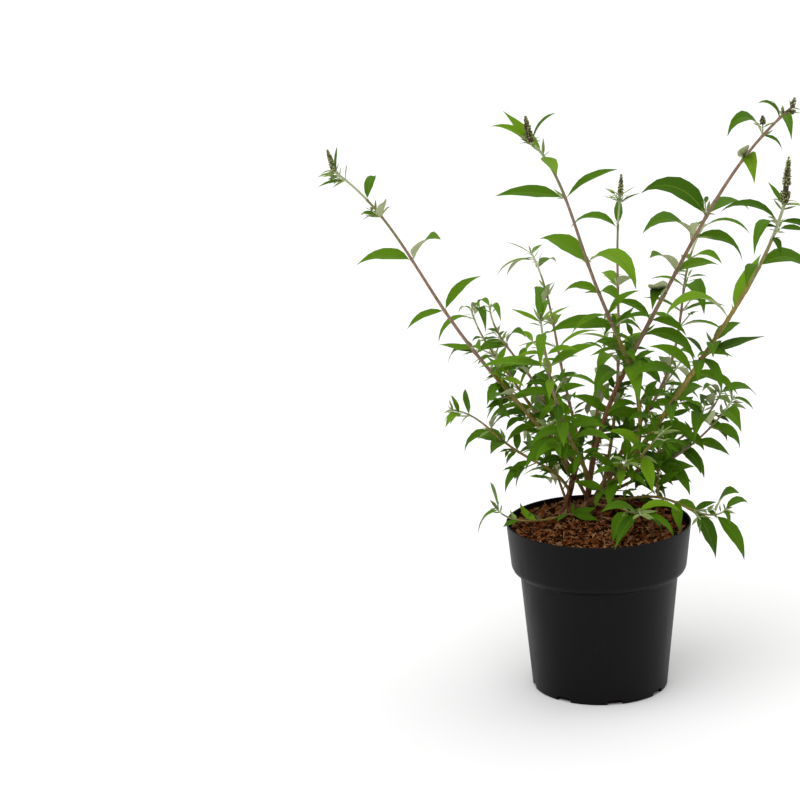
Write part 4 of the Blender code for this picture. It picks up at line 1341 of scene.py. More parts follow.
@dataclass(frozen=True)
class Sprig:
    """Ranges of one kind of small leaf: jitter of the heading, length, fall and roll."""

    jitter: Pair
    lengths: Pair
    falls: Pair
    rolls: Pair
    slender: float = 0.72

    def leaf(self, rng: random.Random, heading: float, size: float = 1.0) -> Leaf:
        """Draw one leaf near a heading, with its length times a size."""
        return Leaf(heading + rng.uniform(*self.jitter), rng.uniform(*self.lengths) * size,
                    rng.uniform(*self.falls), rng.uniform(*self.rolls), self.slender)


@dataclass
class FineGrowth:
    """Small leaves that the solids leave out: in the axils, along the tufts and at the tips."""

    bush: Bush
    low: Vector
    high: Vector
    tries: tuple = ((0, 0), (30, 10), (-30, 10), (0, -25))
    young: float = 1.0
    axil: Sprig = Sprig((-12, 12), (9.0, 21.0), (-25, 45), (-25, 25))
    axil_turns: Pair = (-38, 38)
    axil_share: float = 0.45
    axil_younger: float = 0.35
    axil_seed: int = 7000
    tip_lengths: Pair = (11.0, 25.0)
    tip_jitter: Pair = (-20, 20)
    tip_falls: Pair = (-35, 30)
    tip_rolls: Pair = (-20, 20)
    tip_slender: float = 0.66
    tip_pairs: int = 3
    tip_step: float = 2.8
    tip_growth: Pair = (0.55, 0.15)
    tip_spray: int = 900
    tip_seed: int = 9000
    tuft: Sprig = Sprig((-15, 15), (8.0, 17.0), (-10, 50), (-25, 25))
    tuft_places: Pair = (0.62, 0.97)
    tuft_younger: float = 0.3
    tuft_spray: int = 90000
    tuft_seed: int = 5000
    bract: Sprig = Sprig((-20, 20), (10.0, 21.0), (-60.0, 105.0), (-30, 30), 0.55)
    bracts: int = 2
    bract_step: float = 0.4
    bract_spray: int = 95000
    bract_seed: int = 6000
    bracted: float = 0.015
    side: Sprig = Sprig((-15, 15), (15.0, 36.0), (-20, 60), (-25, 25))
    side_slender: Pair = (0.95, 1.25)
    side_shrink: float = 0.2
    side_step: float = 17.0
    side_steps: Pair = (0.6, 1.4)
    side_start: float = 0.45
    side_end: float = 0.36
    side_spreads: Pair = (30, 65)
    side_twigs: Pair = (7.0, 22.0)
    side_radii: Pair = (0.0007, 0.0005)
    side_places: Pair = (0.62, 1.0)
    side_ages: Pair = (0.4, 0.5)
    side_spray: int = 950
    side_seed: int = 8000
    scrap: Sprig = Sprig((0, 360), (8, 14), (0, 90), (-40, 40), 1.0)
    dead_twigs: tuple = ((0.98, -30, 20, 22), (0.90, 150, 32, 26), (0.80, 60, 14, 30), (0.98, 20, 60, 17),
                         (0.70, -80, 40, 18))
    dead_radii: Pair = (0.0010, 0.0005)
    dead_places: Pair = (0.97, 0.97 - 0.3)
    dead_seed: int = 77

    def _try(self, perch: Perch, leaf: Leaf) -> None:
        """Grow one small leaf, if it stays inside the box of the solids."""
        vertices = leaf_form(perch, leaf)[0]
        if all(self.low[k] <= vertex[k] <= self.high[k] for vertex in vertices for k in range(3)):
            self.bush.try_leaf(perch, leaf, self.tries)

    def grow_bracts(self) -> None:
        """Grow narrow young leaves round the foot of every spike of buds."""
        for number, spike in enumerate(self.bush.spikes):
            rng = random.Random(self.bract_seed + number)
            for step in range(self.bracts if spike.length >= self.bracted else 0):
                perch = Perch(spike.owner, spike.root - spike.way * (self.bract_step * step * MM),
                              spike.way, STEMS.stalk_radius, self.bract_spray + number, self.young)
                self._try(perch, self.bract.leaf(rng, 360 * step / self.bracts))

    def grow_tips(self) -> None:
        """Grow pairs of small young leaves at the tip of every cane."""
        start, growth = self.tip_growth
        for cane in CANES:
            rng = random.Random(cane.seed * self.tip_seed)
            for step in range(self.tip_pairs):
                share = 1 - (STEMS.last_joint + self.tip_step * step) / cane.length
                perch = self.bush.perch(cane, share, cane.seed * SPRAYS + self.tip_spray, self.young)
                size = rng.uniform(*self.tip_lengths) * (start + growth * step)
                turn = 90 * step + rng.uniform(*self.tip_jitter)
                for side in range(2):
                    self._try(perch, Leaf(turn + 180 * side, size, rng.uniform(*self.tip_falls),
                                          rng.uniform(*self.tip_rolls), self.tip_slender))

    def grow_tufts(self) -> None:
        """Grow more pairs of leaves along the small twigs."""
        tips = {cane.name: at(self.bush.limbs[cane.name].points, 1)[0] for cane in CANES}
        for number, twig in enumerate(list(self.bush.twigs)):
            rng = random.Random(self.tuft_seed + number)
            way = (twig.tip - twig.root).normalized()
            owner = min(tips, key=lambda name: (tips[name] - twig.tip).length)
            for step, place in enumerate(self.tuft_places):
                perch = Perch(owner, twig.root.lerp(twig.tip, place), way, twig.radii[1],
                              self.tuft_spray + number, min(1.0, twig.age + self.tuft_younger))
                for side in range(2):
                    self._try(perch, self.tuft.leaf(rng, 90 * step + 180 * side))

    def grow_axils(self) -> None:
        """Grow small leaves in the axils of the joints."""
        for cane, joint, spray in every_joint():
            rng = random.Random(cane.seed * (self.axil_seed - SPRAYS) + spray)
            share = leaf_share(cane, joint)
            perch = self.bush.perch(cane, share, spray, min(1.0, share + self.axil_younger))
            for leaf in joint.leaves:
                for turn in self.axil_turns:
                    small = self.axil.leaf(rng, leaf.heading + turn)
                    if rng.random() < self.axil_share:
                        self._try(perch, small)

    def grow_side_shoots(self) -> None:
        """Grow short side shoots with pairs of small leaves, low in the bush."""
        for cane in CANES:
            rng = random.Random(cane.seed * self.side_seed)
            place = self.side_start * cane.bare
            spray = cane.seed * SPRAYS + self.side_spray
            while place < self.side_end * cane.length:
                axis, way = at(self.bush.limbs[cane.name].points, place / cane.length)
                aim = leaning_out(way, outward(way, rng.uniform(0, 360)), rng.uniform(*self.side_spreads))
                tip = axis + aim * (rng.uniform(*self.side_twigs) * MM)
                self._try_side_shoot(cane.name, axis, tip, rng, spray)
                place += self.side_step * rng.uniform(*self.side_steps)
                spray += 1

    def _try_side_shoot(self, owner: str, root: Vector, tip: Vector, rng: random.Random,
                        spray: int) -> None:
        """Grow one short side shoot, if its stem stands clear.

        Args:
            owner: name of the cane.
            root: its foot on the cane's axis.
            tip: its tip.
            rng: source of its leaves.
            spray: number of its spray.
        """
        aim = (tip - root).normalized()
        outer = twig_form(root.lerp(tip, STEMS.tuft_outer), tip, aim, self.side_radii)
        turn = rng.uniform(0, 180)
        inside = all(self.low[k] < tip[k] < self.high[k] for k in range(3))
        if not inside or not self.bush.thicket.is_clear(owner, outer, outer):
            return
        self.bush.thicket.add(owner, twig_form(root, tip, aim, self.side_radii), outer)
        self.bush.twigs.append(GrownTwig(root, tip, self.side_radii, self.side_ages[0]))
        for step, place in enumerate(self.side_places):
            perch = Perch(owner, root.lerp(tip, place), aim, self.side_radii[1], spray, self.side_ages[1])
            for side in range(2):
                small = self.side.leaf(rng, turn + 90 * step + 180 * side, 1 - self.side_shrink * step)
                self._try(perch, replace(small, slender=rng.uniform(*self.side_slender)))

    def grow_dead(self) -> list[GrownTwig]:
        """Grow dead twigs with dried leaves on the cut stem.

        Returns:
            The twigs.
        """
        rng = random.Random(self.dead_seed)
        twigs = []
        for share, heading, lean, length in self.dead_twigs:
            root = at(self.bush.limbs["stub"].points, share)[0]
            aim = direction(heading, lean)
            tip = root + aim * (length * MM)
            twigs.append(GrownTwig(root, tip, self.dead_radii, 0.0))
            for place in self.dead_places:
                perch = Perch(DEAD, root.lerp(tip, place), aim, self.dead_radii[1], 0, 0.0)
                self.bush.try_leaf(perch, self.scrap.leaf(rng, 0), self.tries)
        return twigs


def grow_limbs(ground: float) -> dict[str, Limb]:
    """Every limb of the bush by name: the stems of the stump, then the canes on their parents.

    Args:
        ground: height at which the old stems leave the bark.

    Returns:
        The limbs.
    """
    limbs = {}
    for stem in STUMP:
        points = arc((*stem.foot, ground), stem.heading, stem.lean, stem.length)
        limbs[stem.name] = Limb(points, stem.length, stem.radii[0] * MM, stem.radii[1] * MM, STEMS.flare)
    for cane in CANES:
        foot = at(limbs[cane.parent].points, cane.seat)[0]
        points = arc(foot, cane.heading, cane.lean, cane.length, cane.bow, cane.power,
                     cane.sway, cane.veer)
        limbs[cane.name] = Limb(points, cane.length, cane.radii[0] * MM, cane.radii[1] * MM)
    return limbs


# Shapes: joined piles of small forms, and shapes that node trees grow


class Pile:
    """Many small closed shapes that become one joined piece, with a material slot for each face."""

    def __init__(self, forms: Iterable[Form] = ()) -> None:
        """Start with some shapes, or empty."""
        self.vertices: list[Vector] = []
        self.faces: list[tuple[int, ...]] = []
        self.slots: list[int] = []
        for form in forms:
            self.add(form, [0] * len(form[1]))

    def add(self, form: Form, slots: Sequence[int]) -> None:
        """Add one shape with the material slot of each of its faces."""
        first = len(self.vertices)
        self.vertices += form[0]
        self.faces += [tuple(first + index for index in face) for face in form[1]]
        self.slots += slots

    def make(self, name: str, materials: Sequence[Material] = (),
             sharp: float | None = None) -> Object:
        """Turn the pile into one object.

        Args:
            name: name of the piece.
            materials: one material for each slot.
            sharp: angle in degrees above which an edge stays sharp, or None for flat faces.

        Returns:
            The object.
        """
        mesh = bpy.data.meshes.new(name)
        mesh.from_pydata([tuple(vertex) for vertex in self.vertices], [], self.faces)
        mesh.polygons.foreach_set("material_index", self.slots)
        for material in materials:
            mesh.materials.append(material)
        if sharp is not None:
            mesh.shade_smooth()
            mesh.set_sharp_from_angle(angle=math.radians(sharp))
        return place_mesh(name, mesh)


def place_mesh(name: str, mesh: Mesh) -> Object:
    """Put a mesh in the scene as an object at the origin.

    Args:
        name: name of the object.
        mesh: its mesh.

    Returns:
        The object.
    """
    item = bpy.data.objects.new(name, mesh)
    bpy.context.scene.collection.objects.link(item)
    return item


def set_values(mesh: Mesh, name: str, kind: str, values: Sequence[float]) -> None:
    """Give a mesh a named attribute with values for its points: FLOAT or FLOAT_VECTOR."""
    layer = mesh.attributes.new(name, kind, "POINT")
    layer.data.foreach_set("value" if kind == "FLOAT" else "vector", values)


def apply_modifiers(item: Object) -> None:
    """Replace an object's mesh by its evaluated one and clear its modifiers.

    Args:
        item: the object.
    """
    shaped = item.evaluated_get(bpy.context.evaluated_depsgraph_get())
    mesh = bpy.data.meshes.new_from_object(shaped)
    item.modifiers.clear()
    item.data = mesh
    mesh.name = item.name


def face_outwards(item: Object) -> None:
    """Turn the faces of a closed mesh outwards.

    Args:
        item: the object.
    """
    build = bmesh.new()
    build.from_mesh(item.data)
    bmesh.ops.recalc_face_normals(build, faces=build.faces)
    build.to_mesh(item.data)
    build.free()


def dress(item: Object, slot: Slot, nodes: Iterable[str] = ()) -> None:
    """Fix a finished piece to the body and hide the nodes of the part that it stands for.

    Args:
        item: the finished piece.
        slot: material slot of the record; not used.
        nodes: nodes of the part that it replaces.
    """
    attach(item, BODY)
    if nodes:
        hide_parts(*nodes)
    log.info("%s: %d faces", item.name, len(item.data.polygons))


class ShapeSheet(Sheet):
    """A Geometry Nodes tree with named inputs for its sizes, applied once to an object."""

    def __init__(self, name: str) -> None:
        """Start a tree that reads the geometry of its object.

        Args:
            name: name of the tree.
        """
        super().__init__(bpy.data.node_groups.new(name, "GeometryNodeTree"))
        for way in ("INPUT", "OUTPUT"):
            self.tree.interface.new_socket("Geometry", in_out=way, socket_type="NodeSocketGeometry")
        self.entry = self.add("NodeGroupInput")
        self.given = Signal(self, self.entry.outputs[0])
        self.values: dict[str, float] = {}

    def size(self, name: str, value: float) -> Signal:
        """Add a named input with its value, a whole number or a length.

        Args:
            name: name of the input.
            value: value it is given.

        Returns:
            The input.
        """
        kind = "NodeSocketInt" if isinstance(value, int) else "NodeSocketFloat"
        item = self.tree.interface.new_socket(name, in_out="INPUT", socket_type=kind)
        self.values[item.identifier] = value
        return Signal(self, self.entry.outputs[name])

    def attribute(self, name: str, kind: str = "FLOAT") -> Signal:
        """Named attribute of the geometry."""
        return self.take("GeometryNodeInputNamedAttribute", {"Name": name}, "Attribute", data_type=kind)

    def relief(self, mesh: Signal, height: Signal) -> Signal:
        """Mesh with its surface moved along its normals by a height in metres."""
        offset = self.take("ShaderNodeVectorMath", {0: self.take("GeometryNodeInputNormal"),
                                                    "Scale": height}, operation="SCALE")
        return self.take("GeometryNodeSetPosition", {"Geometry": mesh, "Offset": offset})

    def grain(self, scale: object, detail: float, along: float) -> Signal:
        """Noise from about -0.5 to 0.5 in the object's coordinates.

        Args:
            scale: grains per metre.
            detail: octaves.
            along: factor on the Z axis; a small one draws the grains out along it.

        Returns:
            The noise.
        """
        inputs = {0: self.take("GeometryNodeInputPosition"), 1: (1, 1, along)}
        scaled = self.take("ShaderNodeVectorMath", inputs, operation="MULTIPLY")
        return self.take("ShaderNodeTexNoise", {"Vector": scaled, "Scale": scale, "Detail": detail}) - 0.5

    def apply(self, item: Object, geometry: Signal, skin: Finish, smooth: bool = True) -> None:
        """Realize, shade and paint the result, and make it the object's own mesh.

        Args:
            item: object that the tree reads and changes.
            geometry: the last output of the tree.
            skin: finish of the whole result.
            smooth: whether it is shaded smooth.
        """
        shaded = self.take("GeometryNodeSetShadeSmooth", {"Geometry": geometry, "Shade Smooth": smooth})
        solid = self.take("GeometryNodeRealizeInstances", {"Geometry": shaded})
        painted = self.take("GeometryNodeSetMaterial", {"Geometry": solid, "Material": skin.make()})
        self.add("NodeGroupOutput", {0: painted})
        modifier = item.modifiers.new(self.tree.name, "NODES")
        modifier.node_group = self.tree
        for identifier, value in self.values.items():
            modifier[identifier] = value
        apply_modifiers(item)


# Pieces


@dataclass
class Pot:
    """Round black nursery pot: thin wall, deep collar, rounded edges and notches in its foot."""

    base_radius: float = 0.0700
    shoulder_radius: float = 0.0815
    shoulder_height: float = 0.1215
    collar_radius: float = 0.0903
    collar_foot: float = 0.1300
    wall: float = 0.0016
    floor: float = 0.0025
    edge: float = 0.0018
    lip: float = 0.0012
    sides: int = 192
    edge_steps: int = 4
    notches: int = 8
    notch_size: Triple = (0.016, 0.005, 0.006)
    notch_turn: float = 12.5
    notch_outline: tuple = ((-1, -1), (1, -1), (1, 0.6), (0.85, 0.9), (0.65, 1), (-0.65, 1),
                            (-0.85, 0.9), (-1, 0.6))
    sharp: float = 38.0
    skin: Finish = BlackPlastic("black_moulded_plastic", (0.0024, 0.0018, 0.0022),
                                (0.0060, 0.0050, 0.0056), (0.060, 0.046, 0.035))
    rim_radius: float = field(init=False)
    height: float = field(init=False)

    def __post_init__(self) -> None:
        """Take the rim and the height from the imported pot."""
        self.rim_radius, _, self.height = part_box("pot")[1]

    def inner_radius(self, height: float) -> float:
        """Radius of the inside of the pot.

        Args:
            height: height above the floor that the pot stands on.

        Returns:
            The radius.
        """
        outline = ((self.floor, self.base_radius), (self.shoulder_height, self.shoulder_radius),
                   (self.collar_foot, self.collar_radius), (self.height, self.rim_radius))
        for (low, small), (high, large) in zip(outline, outline[1:]):
            if height <= high:
                return small + (large - small) * (height - low) / (high - low) - self.wall
        return self.rim_radius - self.wall

    def _bend(self, before: Pair, corner: Pair, after: Pair, reach: float) -> list[Pair]:
        """Points that round one corner of the profile.

        Args:
            before: profile point before the corner.
            corner: the corner.
            after: profile point after the corner.
            reach: distance from the corner at which the rounding starts.

        Returns:
            The rounded corner's points.
        """
        middle = Vector(corner)
        first = middle + (Vector(before) - middle).normalized() * reach
        last = middle + (Vector(after) - middle).normalized() * reach
        shares = [step / self.edge_steps for step in range(self.edge_steps + 1)]
        return [tuple(first.lerp(middle, share).lerp(middle.lerp(last, share), share)) for share in shares]

    def _form(self) -> Form:
        """Section of the pot, from its underside round the rim to its floor, turned round the Z axis.

        Returns:
            Vertices and faces.
        """
        shoulder = (self.shoulder_radius, self.shoulder_height)
        step = (self.collar_radius - self.edge, self.collar_foot - 2 * self.edge)
        rim = (self.rim_radius, self.height)
        inside = [(self.inner_radius(height), height)
                  for height in (self.height, self.collar_foot, self.shoulder_height, self.floor)]
        corners = [(0, 0), (self.base_radius, 0.0), shoulder, step,
                   (self.collar_radius, self.collar_foot), rim, *inside[:2]]
        reaches = (self.edge, self.edge / 3, self.edge / 3, self.edge, self.lip / 2, self.lip / 3)
        section = [point for before, corner, after, reach in zip(corners, corners[1:], corners[2:], reaches)
                   for point in self._bend(before, corner, after, reach)] + inside[1:]
        rings = [[Vector((radius * c, radius * s, height)) for c, s in spokes(self.sides)]
                 for radius, height in section]
        return spindle(Vector((0, 0, 0)), rings, Vector((0, 0, self.floor)))

    def _notch(self, index: int) -> Form:
        """Block with a round-shouldered top that cuts one drain notch.

        Args:
            index: number of the notch.

        Returns:
            Vertices and faces.
        """
        width, height, depth = self.notch_size
        turn = math.radians(self.notch_turn + 360 * index / self.notches - 90)
        out = Vector((math.cos(turn), math.sin(turn), 0))
        aside = Vector((-out.y, out.x, 0)) * (width / 2)
        count = len(self.notch_outline)
        corners = [out * reach + aside * across + UP * (height * up)
                   for reach in (self.base_radius - depth, self.base_radius + depth)
                   for across, up in self.notch_outline]
        ends = [tuple(range(count)), tuple(reversed(range(count, 2 * count)))]
        return corners, ends + quads(2, count)

    def build(self) -> None:
        """Turn the section, cut the notches and dress the pot."""
        pot = Pile([self._form()]).make("black_pot")
        cutter = Pile(self._notch(index) for index in range(self.notches)).make("notches")
        face_outwards(pot)
        face_outwards(cutter)
        boolean = pot.modifiers.new("Notches", "BOOLEAN")
        boolean.operation = "DIFFERENCE"
        boolean.object = cutter
        apply_modifiers(pot)
        bpy.data.objects.remove(cutter)
        pot.data.materials.clear()
        pot.data.materials.append(self.skin.make())
        pot.data.shade_smooth()
        pot.data.set_sharp_from_angle(angle=math.radians(self.sharp))
        dress(pot, Slot.PLASTIC, ["pot"])


class Chip(Enum):
    """Kinds of scrap in the potting bark: length, width and thickness in millimetres."""

    FLAKE = (7.8, 4.8, 1.4)
    BLOCK = (5.6, 4.2, 2.9)
    SPLINTER = (11.0, 1.8, 1.0)
    FIBRE = (12.5, 0.8, 0.6)
    CRUMB = (2.6, 2.1, 1.6)


@dataclass(frozen=True)
class Scatter:
    """One colour of scrap spread over the bark: its kinds, spacing and lift in millimetres and seed."""

    name: str
    skin: BarkChip
    chips: tuple[Chip, ...]
    spacing: float
    seed: int
    lift: float


@dataclass
class PottingBark:
    """Ball of potting bark that fills the pot, topped by loose chips, crumbs and fibres."""

    pot: Pot
    edge_height: float = 0.1680
    back_rise: float = 0.0060
    seat_height: float = 0.1710
    seat_radius: float = 0.034
    seat_centre: Pair = (-0.022, 0.048)
    slope: float = 0.030
    sides: int = 128
    rings: int = 40
    waves: int = 9
    wave_counts: Pair = (70, 420)
    lumps: float = 0.0042
    sunk: float = 0.35
    calm_rings: int = 4
    sharp: float = 40.0
    seed: int = 11
    # Near-black ball: partly the bark's own dark brown, partly painted shade in the gaps between the loose
    # chips.
    skin: Finish = BarkChip("packed_bark", (0.012, 0.005, 0.002), (0.034, 0.013, 0.004))
    tilt: float = 0.75
    shades: int = 3
    smallest: float = 0.5
    largest: float = 1.55
    overhang: float = 1.0
    density: float = 4e5
    chip_rings: Triple = (-0.35, 0.05, 0.38)
    chip_corners: tuple = ((-0.5, -0.5), (0.5, -0.5), (0.5, 0.5), (-0.5, 0.5))
    chip_ends: Pair = (0.45, 0.6)
    chip_skew: float = 0.3
    chip_bow: float = 0.2
    chip_jitter: float = 0.07
    chip_widths: Pair = (0.6, 1.15)
    chip_depths: Pair = (0.6, 1.1)
    scatters: tuple = (
        Scatter("bark_chips_red", BarkChip("red_bark", (0.170, 0.043, 0.010), (0.28, 0.100, 0.032)),
                (Chip.FLAKE, Chip.BLOCK, Chip.CRUMB), 4.8, 21, 0.9),
        Scatter("bark_chips_dark", BarkChip("dark_bark", (0.022, 0.008, 0.002), (0.060, 0.024, 0.007)),
                (Chip.FLAKE, Chip.BLOCK, Chip.CRUMB), 3.9, 22, 0.4),
        Scatter("bark_chips_pink", BarkChip("pink_bark", (0.26, 0.110, 0.050), (0.38, 0.20, 0.10)),
                (Chip.FLAKE, Chip.BLOCK), 10.0, 23, 1.3),
        Scatter("bark_chips_tan", BarkChip("tan_bark", (0.34, 0.165, 0.070), (0.50, 0.30, 0.15)),
                (Chip.SPLINTER, Chip.FIBRE), 6.6, 24, 1.5),
        Scatter("bark_crumbs", BarkChip("fine_bark", (0.040, 0.013, 0.003), (0.11, 0.040, 0.011)),
                (Chip.CRUMB,), 2.3, 25, 0.2),
    )

    def height(self, x: float, y: float) -> float:
        """Height of the bark: flat under the root crown, then sloping to its level along the wall.

        Args:
            x: place to the right.
            y: place away from the front.

        Returns:
            The height.
        """
        away = math.hypot(x - self.seat_centre[0], y - self.seat_centre[1]) - self.seat_radius
        edge = self.edge_height + self.back_rise * y / self.pot.rim_radius
        return self.seat_height + (edge - self.seat_height) * ramp(away / self.slope, 0, 1)

    def _top(self) -> list[list[Vector]]:
        """Rings of the lumpy top from the wall to near its middle.

        Returns:
            The vertices of each ring.
        """
        rng = random.Random(self.seed)
        waves = [(rng.uniform(0, TURN), rng.uniform(*self.wave_counts)) for _ in range(self.waves)]
        rings = []
        for ring in range(self.rings, 0, -1):
            calm = min(1.0, (self.rings - ring) / self.calm_rings)
            row = []
            for c, s in spokes(self.sides):
                level = self.edge_height + self.back_rise * s
                radius = (self.pot.inner_radius(level) - GAP) * ring / self.rings
                x, y = radius * c, radius * s
                lump = sum(math.sin(f * (x * math.cos(p) + y * math.sin(p)) + p) for p, f in waves)
                lump = (lump / len(waves) - self.sunk) * calm
                row.append(Vector((x, y, self.height(x, y) + lump * self.lumps)))
            rings.append(row)
        return rings

    def build(self) -> None:
        """Build the ball, then spread the loose scraps over it."""
        top = self._top()
        rings = []
        for level in (self.pot.floor + GAP, self.pot.shoulder_height + GAP, self.pot.collar_foot):
            radius = self.pot.inner_radius(level) - GAP
            rings.append([Vector((radius * c, radius * s, level)) for c, s in spokes(self.sides)])
        form = spindle(Vector((0, 0, self.pot.floor + GAP)), rings + top, Vector((0, 0, self.height(0, 0))))
        ball = Pile([form]).make("bark_ball", [self.skin.make()], self.sharp)
        dress(ball, Slot.BARK, ["soil"])
        for scatter in self.scatters:
            self._spread(scatter, top)

    def _chip(self, chip: Chip, rng: random.Random) -> Form:
        """One scrap: a box of three rings with every corner pulled out of true and its ends broken.

        Args:
            chip: kind of scrap.
            rng: source of its broken shape.

        Returns:
            Vertices and faces.
        """
        length, width, thick = (size * MM for size in chip.value)
        jitter, skew = self.chip_jitter, self.chip_skew
        first = Vector((-length * rng.uniform(*self.chip_ends), rng.uniform(-skew, skew) * width, 0))
        rings = []
        for along in self.chip_rings:
            bow = rng.uniform(-self.chip_bow, self.chip_bow) * thick
            rings.append([Vector((length * (along + rng.uniform(-jitter, jitter)),
                                  width * across * rng.uniform(*self.chip_widths),
                                  thick * up * rng.uniform(*self.chip_depths) + bow))
                          for across, up in self.chip_corners])
        last = Vector((length * rng.uniform(*self.chip_ends), rng.uniform(-skew, skew) * width, 0))
        return spindle(first, rings, last)

    def _patch(self, rings: Sequence[Sequence[Vector]], margin: float) -> Object:
        """Open sheet of the bark's top for the scraps to lie on.

        Args:
            rings: rings of the bark's top.
            margin: how far it stays clear of the wall.

        Returns:
            The sheet.
        """
        kept = [row for row in rings if row[0].x < rings[0][0].x - margin]
        vertices = [vertex for row in kept for vertex in row]
        return Pile([(vertices, quads(len(kept), self.sides))]).make("bark_patch")

    def _spread(self, scatter: Scatter, rings: Sequence[Sequence[Vector]]) -> None:
        """Spread one colour of scrap over the bark with Geometry Nodes.

        Args:
            scatter: colour, kinds, spacing and seed.
            rings: rings of the bark's top.
        """
        rng = random.Random(scatter.seed)
        stock = bpy.data.collections.new(scatter.name + "_stock")
        bpy.context.scene.collection.children.link(stock)
        helpers = []
        for chip in scatter.chips:
            for _ in range(self.shades):
                helper = Pile([self._chip(chip, rng)]).make("scrap")
                face_outwards(helper)
                bpy.context.scene.collection.objects.unlink(helper)
                stock.objects.link(helper)
                helpers.append(helper)
        longest = max(chip.value[0] for chip in scatter.chips)
        piece = self._patch(rings, (longest / 2 * self.largest - self.overhang) * MM)
        piece.name = scatter.name
        sheet = ShapeSheet(scatter.name)
        tilt = sheet.size("Tilt", self.tilt)
        spots = sheet.take("GeometryNodeDistributePointsOnFaces",
                           {"Mesh": sheet.given, "Distance Min": sheet.size("Spacing", scatter.spacing * MM),
                            "Density Max": self.density, "Seed": scatter.seed}, "Points",
                           distribute_method="POISSON")
        turns = sheet.take("ShaderNodeCombineXYZ", {0: tilt, 1: tilt, 2: math.pi})
        back = sheet.take("ShaderNodeVectorMath", {0: turns, "Scale": -1.0}, operation="SCALE")
        random_node = "FunctionNodeRandomValue"
        euler = sheet.take(random_node, {0: back, 1: turns, "Seed": scatter.seed + 1},
                           data_type="FLOAT_VECTOR")
        scale = sheet.take(random_node, {2: sheet.size("Smallest", self.smallest),
                                         3: sheet.size("Largest", self.largest),
                                         "Seed": scatter.seed + 2}, 1, data_type="FLOAT")
        index = sheet.take(random_node, {4: 0, 5: len(helpers) - 1, "Seed": scatter.seed + 3}, 2,
                           data_type="INT")
        chips = sheet.take("GeometryNodeCollectionInfo",
                           {"Collection": stock, "Separate Children": True, "Reset Children": True})
        raised = sheet.take("ShaderNodeCombineXYZ", {2: sheet.size("Lift", scatter.lift * MM)})
        laid = sheet.take("GeometryNodeSetPosition", {"Geometry": spots, "Offset": raised})
        rotation = sheet.take("FunctionNodeEulerToRotation", {0: euler})
        scraps = sheet.take("GeometryNodeInstanceOnPoints",
                            {"Points": laid, "Instance": chips, "Pick Instance": True,
                             "Instance Index": index, "Rotation": rotation, "Scale": scale})
        sheet.apply(piece, scraps, scatter.skin, smooth=False)
        for helper in helpers:
            bpy.data.objects.remove(helper)
        bpy.data.collections.remove(stock)
        dress(piece, Slot.BARK)


